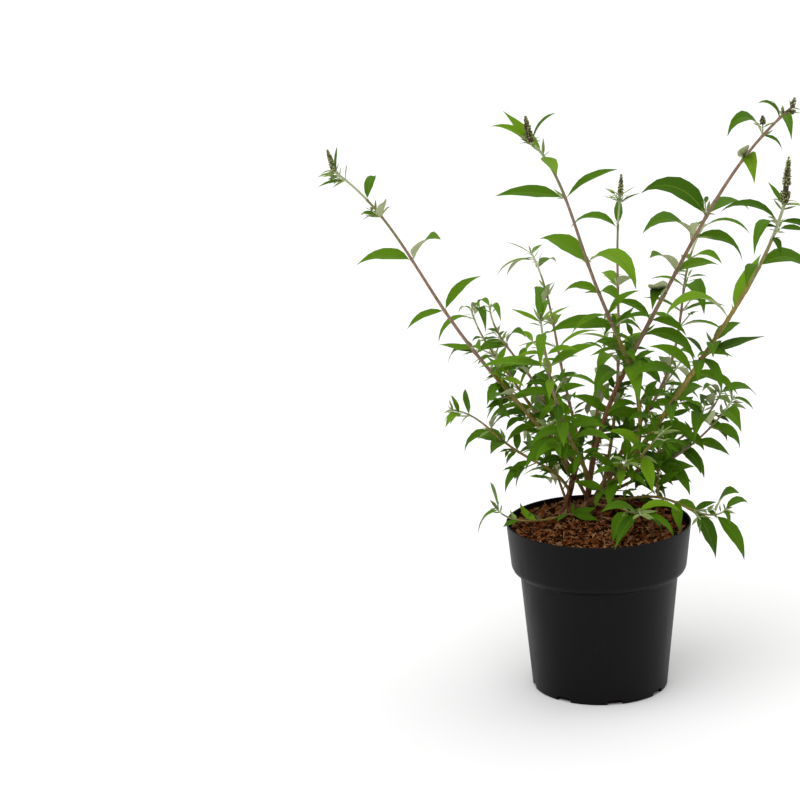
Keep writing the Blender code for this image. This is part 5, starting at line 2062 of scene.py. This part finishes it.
@dataclass
class OldWood:
    """The old wood of the stump: three flared stems on a low crown, with the bark's relief."""

    limbs: dict[str, Limb]
    ground: float
    centre: Pair = (-0.022, 0.048)
    crown_reach: Pair = (0.021, 0.011)
    crown_rise: float = 0.007
    crown_rings: tuple = ((1.0, -0.5), (0.98, 0.0), (0.9, 0.35), (0.75, 0.65), (0.55, 0.85), (0.3, 0.97))
    crown_sides: int = 40
    stem_sides: int = 20
    stem_run: float = 3.0
    voxel: float = 0.00065
    relief: float = 0.0009
    ridges: float = 330.0
    fibres: float = 900.0
    sunk: float = 0.0025
    bark: Finish = OldBark("old_bark", (0.225, 0.098, 0.042), (0.048, 0.019, 0.010), (0.40, 0.230, 0.120))
    cap: float = 0.0005
    cap_rings: tuple = ((-1.6, 0.90), (0.6, 0.92), (1.0, 0.78), (1.3, 0.4))
    cap_sides: int = 26
    cap_rag: float = 0.5
    cap_widths: Pair = (0.93, 1.05)
    cap_sharp: float = 50.0
    cap_seed: int = 31

    def _crown(self) -> Form:
        """Low mound that joins the stems.

        Returns:
            Vertices and faces.
        """
        middle = Vector((*self.centre, self.ground))
        length, width = self.crown_reach
        rings = [[middle + Vector((length * share * c, width * share * s, self.crown_rise * height))
                  for c, s in spokes(self.crown_sides)] for share, height in self.crown_rings]
        return spindle(middle - UP * self.crown_rise, rings, middle + UP * self.crown_rise)

    def _stem(self, limb: Limb) -> Form:
        """One flared stem, in short runs.

        Args:
            limb: the stem's limb.

        Returns:
            Vertices and faces.
        """
        count = round(limb.length / self.stem_run)
        shares = [index / count for index in range(count + 1)]
        return tube([(*at(limb.points, share), limb.radius(share)) for share in shares], self.stem_sides)

    def build(self) -> None:
        """Join the stems and the crown, give them the bark's relief and cap the sawn end."""
        stems = [self._stem(self.limbs[stem.name]) for stem in STUMP]
        wood = Pile([self._crown(), *stems]).make("old_wood")
        face_outwards(wood)
        remesh = wood.modifiers.new("Join", "REMESH")
        remesh.mode = "VOXEL"
        remesh.voxel_size = self.voxel
        apply_modifiers(wood)
        sheet = ShapeSheet("old_bark_relief")
        coarse = sheet.grain(sheet.size("Ridges", self.ridges), 3.0, 0.3)
        fine = sheet.grain(sheet.size("Fibres", self.fibres), 2.0, 0.2)
        height = (coarse * 1.5 + fine * 0.6) * sheet.size("Relief", self.relief)
        sheet.apply(wood, sheet.relief(sheet.given, height), self.bark)
        for vertex in wood.data.vertices:
            vertex.co.z = max(vertex.co.z, self.ground - self.sunk)
        dress(wood, Slot.WOOD, ["stump"])
        self._cap_sawn_end()

    def _cap_sawn_end(self) -> None:
        """Lay a thin ragged disc of pale wood on the end of the longest stem."""
        limb = self.limbs["stub"]
        place, way = at(limb.points, 1.0)
        across, up = frame_across(way, AWAY)
        rng = random.Random(self.cap_seed)
        rings = [[place + way * (lift * self.cap + rng.uniform(-1, 1) * self.cap * self.cap_rag)
                  + (across * c + up * s) * limb.tip_radius * wide * rng.uniform(*self.cap_widths)
                  for c, s in spokes(self.cap_sides)] for lift, wide in self.cap_rings]
        form = spindle(place - way * (2 * self.cap), rings, place + way * self.cap)
        skin = CutWood("sawn_wood", (0.42, 0.29, 0.17), (0.24, 0.14, 0.075), tuple(place))
        end = Pile([form]).make("sawn_end", [skin.make()], self.cap_sharp)
        face_outwards(end)
        dress(end, Slot.WOOD)


@dataclass(frozen=True)
class Thread:
    """A round path to be skinned: points, a radius at each point, and the tone of its skin."""

    points: list[Vector]
    radii: list[float]
    tone: Tone


def straight_thread(root: Vector, tip: Vector, radii: Triple, tone: Tone) -> Thread:
    """Thread with a point at each end of a straight run and one at its middle."""
    return Thread([root, root.lerp(tip, 0.5), tip], list(radii), tone)


@dataclass
class Canes:
    """Bare boughs and leafy stems, with knuckles at their joints and the bark of their age."""

    bush: Bush
    dead: list[GrownTwig]
    step: float = 2.2
    sides: int = 10
    knuckle: float = 0.22
    knuckle_reach: float = 1.7
    relief: float = 0.10
    ridges: float = 800.0
    sharp: float = 60.0
    core: Triple = (0.42, 0.50, 0.22)
    core_reach: float = 0.92
    felted_age: float = 0.6
    olive_canes: tuple = ("strong_right", "low_left", "outer_left", "base_right", "trailing_left",
                          "upright_right", "front_right", "rim_right", "small_right",
                          "right_low_upper")
    grey_canes: tuple = ("base_left", "back_low")
    olive_feet: tuple = ("left_centre", "centre", "thin_left", "leafy_left", "inner_left", "far_left")
    brown_to_tip: str = "top_right"
    brown_from: float = 0.34
    green_from: float = 0.76
    felt_from: float = 0.89
    skins: dict[Tone, Finish] = field(default_factory=lambda: {
        Tone.GREY: CaneSkin("grey_cane", (0.28, 0.175, 0.080), (0.140, 0.074, 0.034)),
        Tone.OLIVE: CaneSkin("olive_cane", (0.31, 0.250, 0.060), (0.190, 0.120, 0.034)),
        Tone.PURPLE: CaneSkin("purple_cane", (0.260, 0.130, 0.058), (0.120, 0.053, 0.027)),
        Tone.BROWN: CaneSkin("brown_cane", (0.340, 0.225, 0.150), (0.200, 0.120, 0.080)),
        Tone.GREEN: CaneSkin("green_cane", (0.280, 0.270, 0.110), (0.20, 0.150, 0.075)),
        Tone.FELTED: FeltSkin("felted_cane", (0.42, 0.47, 0.27)),
        Tone.SPIKE: CaneSkin("spike_core", (0.060, 0.060, 0.022), (0.040, 0.030, 0.017)),
    })

    def _tone(self, cane: Cane, share: float) -> Tone:
        """Skin of a cane where it has come so far.

        Args:
            cane: the cane.
            share: share of its length.

        Returns:
            The tone.
        """
        if cane.name != self.brown_to_tip and share > self.green_from:
            return Tone.FELTED if share > self.felt_from else Tone.GREEN
        if cane.name in self.olive_canes:
            return Tone.OLIVE
        if cane.name in self.grey_canes:
            return Tone.GREY
        if share > self.brown_from:
            return Tone.BROWN
        return Tone.OLIVE if cane.name in self.olive_feet else Tone.PURPLE

    def _threads(self, cane: Cane, start: float, end: float) -> Iterator[Thread]:
        """Paths of one cane between two shares, one for each stretch of a single tone.

        Args:
            cane: the cane.
            start: first share.
            end: last share.

        Returns:
            The paths.
        """
        limb = self.bush.limbs[cane.name]
        joints = [joint.place for joint in cane_joints(cane)]
        count = max(2, round((end - start) * cane.length / self.step))
        shares = [start + (end - start) * index / count for index in range(count + 1)]
        points, radii, tones = [], [], []
        for share in shares:
            swell = sum(math.exp(-((share * cane.length - place) / self.knuckle_reach) ** 2)
                        for place in joints)
            points.append(at(limb.points, share)[0])
            radii.append(limb.radius(share) * (1 + self.knuckle * min(1.0, swell)))
            tones.append(self._tone(cane, share))
        first = 0
        for index in range(1, count + 1):
            if index == count or tones[index] is not tones[first]:
                yield Thread(points[first:index + 1], radii[first:index + 1], tones[first])
                first = index

    def build(self) -> None:
        """Skin the boughs, then the leafy stems with their twigs and the cores of their buds."""
        bare: list[Thread] = []
        leafy: list[Thread] = []
        for cane in CANES:
            split = cane.bare / cane.length
            bare += self._threads(cane, 0.0, split)
            leafy += self._threads(cane, split, 1.0)
        bare += [Thread([twig.root, twig.tip], list(twig.radii), Tone.GREY) for twig in self.dead]
        for twig in self.bush.twigs:
            radii = (twig.radii[0], sum(twig.radii) / 2, twig.radii[1])
            tone = Tone.FELTED if twig.age > self.felted_age else Tone.GREEN
            leafy.append(straight_thread(twig.root, twig.tip, radii, tone))
        for spike in self.bush.spikes:
            top = spike.root + spike.way * (spike.length * self.core_reach)
            radii = tuple(spike.half_width * share for share in self.core)
            leafy.append(straight_thread(spike.root, top, radii, Tone.SPIKE))
        for tone in Tone:
            for stem, threads, slot, nodes in (("bare_canes_", bare, Slot.WOOD, BOUGHS),
                                               ("leafy_stems_", leafy, Slot.FOLIAGE, SHOOTS)):
                kept = [thread for thread in threads if thread.tone is tone]
                if kept:
                    dress(self._skin(stem + tone.value, kept, self.skins[tone]), slot, nodes)

    def _skin(self, name: str, threads: Sequence[Thread], skin: Finish) -> Object:
        """Skin a bundle of paths with Geometry Nodes.

        Args:
            name: name of the piece.
            threads: the paths.
            skin: finish of the piece.

        Returns:
            The piece.
        """
        points = []
        edges = []
        for thread in threads:
            edges += [(k, k + 1) for k in range(len(points), len(points) + len(thread.points) - 1)]
            points += [tuple(point) for point in thread.points]
        mesh = bpy.data.meshes.new(name)
        mesh.from_pydata(points, edges, [])
        set_values(mesh, "thickness", "FLOAT", [radius for thread in threads for radius in thread.radii])
        piece = place_mesh(name, mesh)
        sheet = ShapeSheet(name)
        curve = sheet.take("GeometryNodeMeshToCurve", {"Mesh": sheet.given})
        ring = sheet.take("GeometryNodeCurvePrimitiveCircle",
                          {"Resolution": sheet.size("Sides", self.sides), "Radius": 1.0})
        skinned = sheet.take("GeometryNodeCurveToMesh",
                             {"Curve": curve, "Profile Curve": ring, "Fill Caps": True,
                              "Scale": sheet.attribute("thickness")})
        height = sheet.grain(sheet.size("Ridges", self.ridges), 3.0, 0.25)
        height = height * sheet.size("Relief", self.relief * MM) * 2
        sheet.apply(piece, sheet.relief(skinned, height), skin)
        piece.data.set_sharp_from_angle(angle=math.radians(self.sharp))
        return piece


class Face(IntEnum):
    """Material slots of a leaf's faces."""

    BLADE = 0
    RIB = 1
    UNDER = 2
    STALK = 3


@dataclass
class LeafPress:
    """Shapes every leaf: a petiole, an arching folded blade with a sunk midrib, and a drawn-out tip."""

    widest: float = 0.40
    rise: float = 0.95
    taper: float = 1.425
    narrowing: Triple = (1.11, 0.87, 0.98)
    low_heights: Pair = (0.24, 0.34)
    high_heights: Pair = (0.38, 0.48)
    sun_shares: Pair = (0.58, 0.88)
    sun_turns: Pair = (80.0, 140.0)
    sun_limit: float = 125.0
    back_places: Pair = (0.055, 0.100)
    petiole: float = 0.07
    petiole_width: float = 0.030
    midrib: float = 0.050
    midrib_taper: float = 0.7
    midrib_least: float = 0.00016
    midrib_most: float = 0.6
    midrib_depth: float = 0.9
    groove: float = 0.04
    cup: float = 0.85
    inner: float = 0.52
    inner_waviness: float = 0.3
    waviness: float = 0.06
    ripples: float = 11.0
    ripple_shift: float = 1.7
    twist: float = 0.20
    toothing: float = 0.030
    path_steps: int = 24
    stations: tuple = ((45.0, 8), (22.0, 6), (0.0, 4))
    cupped_from: float = 34.0
    thinness: float = 0.55
    thinning: float = 0.6

    def _width(self, share: float) -> float:
        """Share of the leaf's greatest half width.

        Args:
            share: share of the way along the leaf.

        Returns:
            The share of the width.
        """
        if share <= self.petiole:
            return self.petiole_width
        along = (share - self.petiole) / (1 - self.petiole)
        peak = self.widest ** self.rise * (1 - self.widest) ** self.taper
        return max(self.petiole_width, along ** self.rise * (1 - along) ** self.taper / peak)

    def _path(self, grown: GrownLeaf) -> LeafPath:
        """Midrib of a leaf, rolled further to the light than in the solids towards the front.

        Args:
            grown: the leaf as it stands.

        Returns:
            The leaf's path.
        """
        path = leaf_path(grown.perch, grown.leaf, self.path_steps)
        least, most = self.sun_shares
        sun = least + (most - least) * ramp(abs(path.sunward), *self.sun_turns)
        sun *= (1 - ramp(grown.perch.axis.y, *self.back_places)) * path.sunward
        sun = min(max(sun, -self.sun_limit), self.sun_limit)
        return replace(path, roll=math.radians(grown.leaf.roll + sun))

    def _half_width(self, grown: GrownLeaf) -> float:
        """Greatest half width of a leaf: broad low in the bush, narrow in its middle.

        Args:
            grown: the leaf as it stands.

        Returns:
            The half width in metres.
        """
        foot, middle, head = self.narrowing
        narrowing = foot + (middle - foot) * ramp(grown.perch.axis.z, *self.low_heights)
        narrowing += (head - middle) * ramp(grown.perch.axis.z, *self.high_heights)
        return 0.5 * LEAVES.width * grown.leaf.slender * (grown.leaf.length * MM) * narrowing

    def form(self, grown: GrownLeaf, rng: random.Random) -> tuple[Form, list[int]]:
        """Mesh of one leaf.

        Args:
            grown: the leaf as it stands.
            rng: source of its small irregularities.

        Returns:
            Vertices and faces, and the slot of each face.
        """
        path = self._path(grown)
        size = grown.leaf.length
        half_width = self._half_width(grown)
        count = next(number for least, number in self.stations if size >= least)
        inner = (self.inner,) if size >= self.cupped_from else ()
        wave = rng.uniform(0, TURN)
        twist = rng.uniform(-self.twist, self.twist)
        shares = [0.0, self.petiole]
        shares += [self.petiole + (1 - self.petiole) * k / count for k in range(1, count)]
        rings = []
        for index, share in enumerate(shares):
            place, edge, face = path.frame(share, twist * share)
            width = self._width(share) * half_width
            blade = max(0.0, share - self.petiole) / (1 - self.petiole)
            rib = max(self.midrib * (1 - self.midrib_taper * blade) * half_width, self.midrib_least)
            rib = min(rib, width * self.midrib_most)
            thick = max(LEAVES.thickness * self.thinness * (size * MM), rib * self.midrib_depth)
            thick *= 1 - self.thinning * blade
            halves = []
            for sign in (1, -1):
                above = sign > 0
                tooth = 1 + self.toothing * (1 if (index + above) % 2 else -1) * (blade > 0)
                ripple = math.sin(wave + self.ripples * share + above * self.ripple_shift)
                ripple *= self.waviness * (blade > 0)
                half = [place + edge * (sign * width * tooth) + face * (width * (LEAVES.fold + ripple))]
                for part in inner:
                    lift = LEAVES.fold * part ** self.cup + ripple * self.inner_waviness
                    half.append(place + edge * (sign * width * part) + face * (width * lift))
                half.append(place + edge * (sign * rib) - face * (self.groove * rib))
                halves.append(half)
            rings.append([*halves[0], *reversed(halves[1]), place - face * thick])
        return self._closed(path, rings, [Face.BLADE] * (1 + len(inner)))

    def _closed(self, path: LeafPath, rings: list[list[Vector]], blade: list[Face]) -> tuple[Form, list[int]]:
        """Close a leaf's rings, with its underside folded the other way than its blade.

        Args:
            path: the leaf's path.
            rings: vertices round the leaf at each station.
            blade: slots across one half of the blade.

        Returns:
            Vertices and faces, and the slot of each face.
        """
        kinds = [*blade, Face.RIB, *blade, Face.UNDER, Face.UNDER]
        around = len(kinds)
        vertices, faces = spindle(path.points[0], rings, path.points[-1])
        folded = [face[1:] + face[:1] if len(face) == 4 and kinds[k % around] == Face.UNDER else face
                  for k, face in enumerate(faces)]
        return (vertices, folded), [Face.STALK] * (2 * around) + kinds * (len(rings) - 1)


@dataclass
class Foliage:
    """Every leaf of the bush, joined by the tint of its spray."""

    bush: Bush
    press: LeafPress = field(default_factory=LeafPress)
    # Weights of the four greens by height. Besides tone that differs at random, they paint light: more bright
    # greens in the shaded middle of the crown, more deep greens as painted shade low inside.
    shades: tuple = ((0.45, (0.16, 0.52, 0.26, 0.06)), (0.32, (0.06, 0.30, 0.38, 0.26)),
                     (0.0, (0.20, 0.42, 0.26, 0.12)))
    young_length: float = 26.0
    young_age: float = 0.86
    sharp: float = 50.0
    seed: int = 70000
    tops: dict[Tint, Finish] = field(default_factory=lambda: {
        Tint.DEEP: LeafSkin("deep_green_leaf", (0.040, 0.104, 0.002)),
        Tint.GRASS: LeafSkin("grass_green_leaf", (0.064, 0.156, 0.002)),
        Tint.FRESH: LeafSkin("fresh_green_leaf", (0.090, 0.202, 0.003)),
        Tint.BRIGHT: LeafSkin("bright_green_leaf", (0.132, 0.262, 0.006)),
        Tint.YOUNG: LeafSkin("young_leaf", (0.255, 0.335, 0.110), 0.72),
        Tint.DRY: LeafSkin("dry_leaf", (0.150, 0.075, 0.030), 0.82),
    })
    others: tuple[Finish, ...] = (
        LeafSkin("leaf_midrib", (0.112, 0.205, 0.012)),
        FeltSkin("leaf_underside", (0.44, 0.48, 0.26)),
        FeltSkin("leaf_stalk", (0.34, 0.40, 0.17)),
    )

    def _tint(self, grown: GrownLeaf) -> Tint:
        """Tint of the spray that a leaf belongs to: paler at the tips, and otherwise greens dealt by height
        as painted light, deeper low inside and brighter in the shaded middle of the crown.

        Args:
            grown: the leaf as it stands.

        Returns:
            The tint.
        """
        if grown.perch.owner == DEAD:
            return Tint.DRY
        if grown.leaf.length < self.young_length and grown.perch.age > self.young_age:
            return Tint.YOUNG
        # Greens weighted by height: painted light in the shaded middle, painted shade low inside.
        weights = next(row for least, row in self.shades if grown.perch.axis.z >= least)
        rng = random.Random(grown.perch.spray)
        return rng.choices((Tint.DEEP, Tint.GRASS, Tint.FRESH, Tint.BRIGHT), weights)[0]

    def build(self) -> None:
        """Shape every leaf and join them by tint."""
        piles = {tint: Pile() for tint in Tint}
        for number, grown in enumerate(self.bush.leaves):
            piles[self._tint(grown)].add(*self.press.form(grown, random.Random(self.seed + number)))
        others = [skin.make() for skin in self.others]
        for tint, pile in piles.items():
            if pile.faces:
                piece = pile.make("leaves_" + tint.value, [self.tops[tint].make(), *others], self.sharp)
                dress(piece, Slot.FOLIAGE, SHOOTS)


@dataclass
class BudSpikes:
    """Spikes of tight flower buds: whorls of little clusters round each spike's core."""

    bush: Bush
    whorl: float = 2.5
    whorl_place: float = 0.4
    least_whorls: int = 3
    bud: float = 1.02
    bud_sizes: Pair = (0.75, 1.2)
    bud_taper: float = 0.35
    slender: float = 0.70
    clusters: int = 5
    cluster: int = 6
    cluster_jitter: float = 0.2
    cluster_spread: float = 0.45
    cluster_height: float = 0.8
    inset: float = 0.9
    depths: Pair = (0.7, 1.0)
    aims: Pair = (0.5, 1.3)
    fuller: float = 1.35
    fullest: float = 0.0054
    round_share: float = 0.34
    round_length: float = 0.010
    gap_from: float = 0.27
    gap_to: float = 0.36
    gapped_length: float = 0.040
    ends: Pair = (0.6, 0.12)
    seed: int = 83
    tones: tuple[Finish, ...] = (
        BudSkin("grey_green_bud", (0.370, 0.410, 0.165)),
        BudSkin("olive_bud", (0.155, 0.165, 0.050)),
        BudSkin("purple_bud", (0.120, 0.080, 0.062)),
    )
    brown_spikes: tuple = ("left_centre", "top_right")
    brown_weights: Triple = (0.24, 0.26, 0.50)
    green_weights: Triple = (0.48, 0.36, 0.16)

    def _width(self, share: float) -> float:
        """Share of a spike's half width.

        Args:
            share: share of its length.

        Returns:
            The share of the width.
        """
        rows = ((0.0, self.ends[0]), *STEMS.spike_rings, (1.0, self.ends[1]))
        for (low, narrow), (high, wide) in zip(rows, rows[1:]):
            if share <= high:
                return narrow + (wide - narrow) * (share - low) / (high - low)
        return self.ends[1]

    def _spots(self, spike: GrownSpike) -> Iterator[Ring]:
        """Place, direction and size of every bud of a spike.

        Args:
            spike: the spike.

        Returns:
            One row for each bud.
        """
        rng = random.Random(spike.seed)
        across, up = frame_across(spike.way, EAST)
        whorls = max(self.least_whorls, round(spike.length / (self.whorl * MM)))
        full = max(spike.half_width, min(self.fuller * spike.half_width, self.fullest),
                   self.round_share * min(spike.length, self.round_length))
        for whorl in range(whorls):
            share = (whorl + self.whorl_place) / whorls
            if spike.length > self.gapped_length and self.gap_from < share < self.gap_to:
                continue
            reach = full * self._width(share)
            for cluster in range(self.clusters):
                around = TURN * (cluster + 0.5 * (whorl % 2)) / self.clusters
                around += rng.uniform(-self.cluster_jitter, self.cluster_jitter)
                for _ in range(self.cluster):
                    angle = around + rng.uniform(-self.cluster_spread, self.cluster_spread)
                    out = across * math.cos(angle) + up * math.sin(angle)
                    along = share * spike.length
                    along += rng.uniform(-self.cluster_height, self.cluster_height) * MM
                    size = self.bud * MM * rng.uniform(*self.bud_sizes) * (1 - self.bud_taper * share)
                    depth = max(0.0, reach - size * self.inset) * rng.uniform(*self.depths)
                    aim = (out + spike.way * rng.uniform(*self.aims)).normalized()
                    yield spike.root + spike.way * along + out * depth, aim, size

    def build(self) -> None:
        """Deal the buds out by tone and grow each tone with Geometry Nodes."""
        rng = random.Random(self.seed)
        rows: dict[Finish, list[Ring]] = {skin: [] for skin in self.tones}
        for spike in self.bush.spikes:
            weights = self.brown_weights if spike.owner in self.brown_spikes else self.green_weights
            for spot in self._spots(spike):
                rows[rng.choices(self.tones, weights)[0]].append(spot)
        for skin, spots in rows.items():
            self._grow("buds_" + skin.name.removesuffix("_bud"), spots, skin)

    def _grow(self, name: str, spots: Sequence[Ring], skin: Finish) -> None:
        """Put one bud on every spot.

        Args:
            name: name of the piece.
            spots: place, direction and size of each bud.
            skin: finish of the buds.
        """
        mesh = bpy.data.meshes.new(name)
        mesh.from_pydata([tuple(spot[0]) for spot in spots], [], [])
        set_values(mesh, "aim", "FLOAT_VECTOR", [value for spot in spots for value in spot[1]])
        set_values(mesh, "size", "FLOAT", [spot[2] for spot in spots])
        piece = place_mesh(name, mesh)
        sheet = ShapeSheet(name)
        slender = sheet.size("Slenderness", self.slender)
        ball = sheet.take("GeometryNodeMeshIcoSphere", {"Radius": 1.0, "Subdivisions": 1})
        stretch = sheet.take("ShaderNodeCombineXYZ", {0: slender, 1: slender, 2: 1.0})
        bud = sheet.take("GeometryNodeTransform", {"Geometry": ball, "Scale": stretch})
        turn = sheet.take("FunctionNodeAlignRotationToVector",
                          {"Vector": sheet.attribute("aim", "FLOAT_VECTOR")}, axis="Z")
        buds = sheet.take("GeometryNodeInstanceOnPoints",
                          {"Points": sheet.given, "Instance": bud, "Rotation": turn,
                           "Scale": sheet.attribute("size")})
        sheet.apply(piece, buds, skin)
        dress(piece, Slot.FOLIAGE, ["shoot_" + cane.name for cane in CANES if cane.spike or cane.heads])


@dataclass
class Studio:
    """Pale floor, broad soft lights from above and the camera of the front view."""

    place: Triple = (0.0, -2.4, 0.9132)
    yaw: float = 0.0836
    pitch: float = 0.247
    roll: float = 0.0309
    focal: float = 2426.9
    frame_width: float = 800.0
    sensor: float = 36.0
    floor: Finish = PaleFloor("pale_floor", (0.87, 0.87, 0.87))
    floor_reach: float = 60.0
    world: float = 0.50
    suns: tuple = (
        ("above_left", (-0.34, -0.46, 1.0), 70.0, 1.80),
        ("above_right", (0.34, 0.56, 1.0), 66.0, 1.05),
    )

    def build(self) -> None:
        """Set the camera, the floor, the world and the lights."""
        self._set_camera()
        self._lay_floor()
        scene = bpy.context.scene
        scene.view_settings.view_transform = "Standard"
        world = bpy.data.worlds.new("soft_white")
        world.use_nodes = True
        background = world.node_tree.nodes["Background"]
        background.inputs["Color"].default_value = (1, 1, 1, 1)
        background.inputs["Strength"].default_value = self.world
        scene.world = world
        for name, place, spread, power in self.suns:
            light = bpy.data.lights.new(name, "SUN")
            light.angle = math.radians(spread)
            light.energy = power
            lamp = bpy.data.objects.new(name, light)
            lamp.rotation_euler = Vector(place).to_track_quat("Z", "Y").to_euler()
            scene.collection.objects.link(lamp)

    def _set_camera(self) -> None:
        """Set the camera at the photograph's viewing angle."""
        ahead = Vector((-math.sin(self.yaw) * math.cos(self.pitch),
                        math.cos(self.yaw) * math.cos(self.pitch), -math.sin(self.pitch)))
        right = Vector((math.cos(self.yaw), math.sin(self.yaw), 0))
        above = right.cross(ahead)
        rolled_right = right * math.cos(self.roll) - above * math.sin(self.roll)
        rolled_above = right * math.sin(self.roll) + above * math.cos(self.roll)
        camera = bpy.data.cameras.new("front")
        camera.sensor_width = self.sensor
        camera.lens = self.focal * self.sensor / self.frame_width
        item = bpy.data.objects.new("front", camera)
        axes = Matrix((rolled_right, rolled_above, -ahead)).transposed()
        item.matrix_world = Matrix.Translation(self.place) @ axes.to_4x4()
        bpy.context.scene.collection.objects.link(item)
        bpy.context.scene.camera = item

    def _lay_floor(self) -> None:
        """Lay a large plain floor at the pot's foot."""
        reach = self.floor_reach
        corners = [Vector((x * reach, y * reach, 0)) for x, y in ((-1, -1), (1, -1), (1, 1), (-1, 1))]
        Pile([(corners, [(0, 1, 2, 3)])]).make("floor", [self.floor.make()])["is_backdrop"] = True


def node_form(name: str) -> Form:
    """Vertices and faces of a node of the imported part."""
    mesh = bpy.data.objects[name].data
    return [vertex.co.copy() for vertex in mesh.vertices], [tuple(face.vertices) for face in mesh.polygons]


def write_sizes(before: tuple, after: tuple) -> None:
    """Put the part's box and the dressed model's box into plain lists; nothing is written."""
    boxes = {name: [list(corner) for corner in box] for name, box in (("cad", before), ("visual", after))}


def main() -> None:
    """Grow the bush, build its pieces in order and set the studio."""
    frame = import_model()
    log.info("%d nodes loaded", len(frame["nodes"]))
    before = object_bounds()
    Studio().build()
    pot = Pot()
    bark = PottingBark(pot)
    ground = bark.seat_height + GAP
    limbs = grow_limbs(ground)
    bush = Bush(limbs, [(name, node_form(name)) for name in ("pot", "soil", "stump", *BOUGHS)])
    bush.grow_leaves(measured=True)
    bush.grow_leaves(measured=False)
    bush.grow_tufts()
    log.info("%d leaves and %d twigs as in the solids", len(bush.leaves), len(bush.twigs))
    fine = FineGrowth(bush, Vector(before[0]), Vector(before[1]))
    fine.grow_bracts()
    fine.grow_tips()
    fine.grow_tufts()
    fine.grow_axils()
    fine.grow_side_shoots()
    dead = fine.grow_dead()
    log.info("%d leaves with the fine growth", len(bush.leaves))
    pot.build()
    bark.build()
    OldWood(limbs, ground).build()
    Canes(bush, dead).build()
    Foliage(bush).build()
    BudSpikes(bush).build()
    write_sizes(before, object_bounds())


if __name__ == "__main__":
    logging.basicConfig(level=logging.INFO, format="%(message)s")
    main()
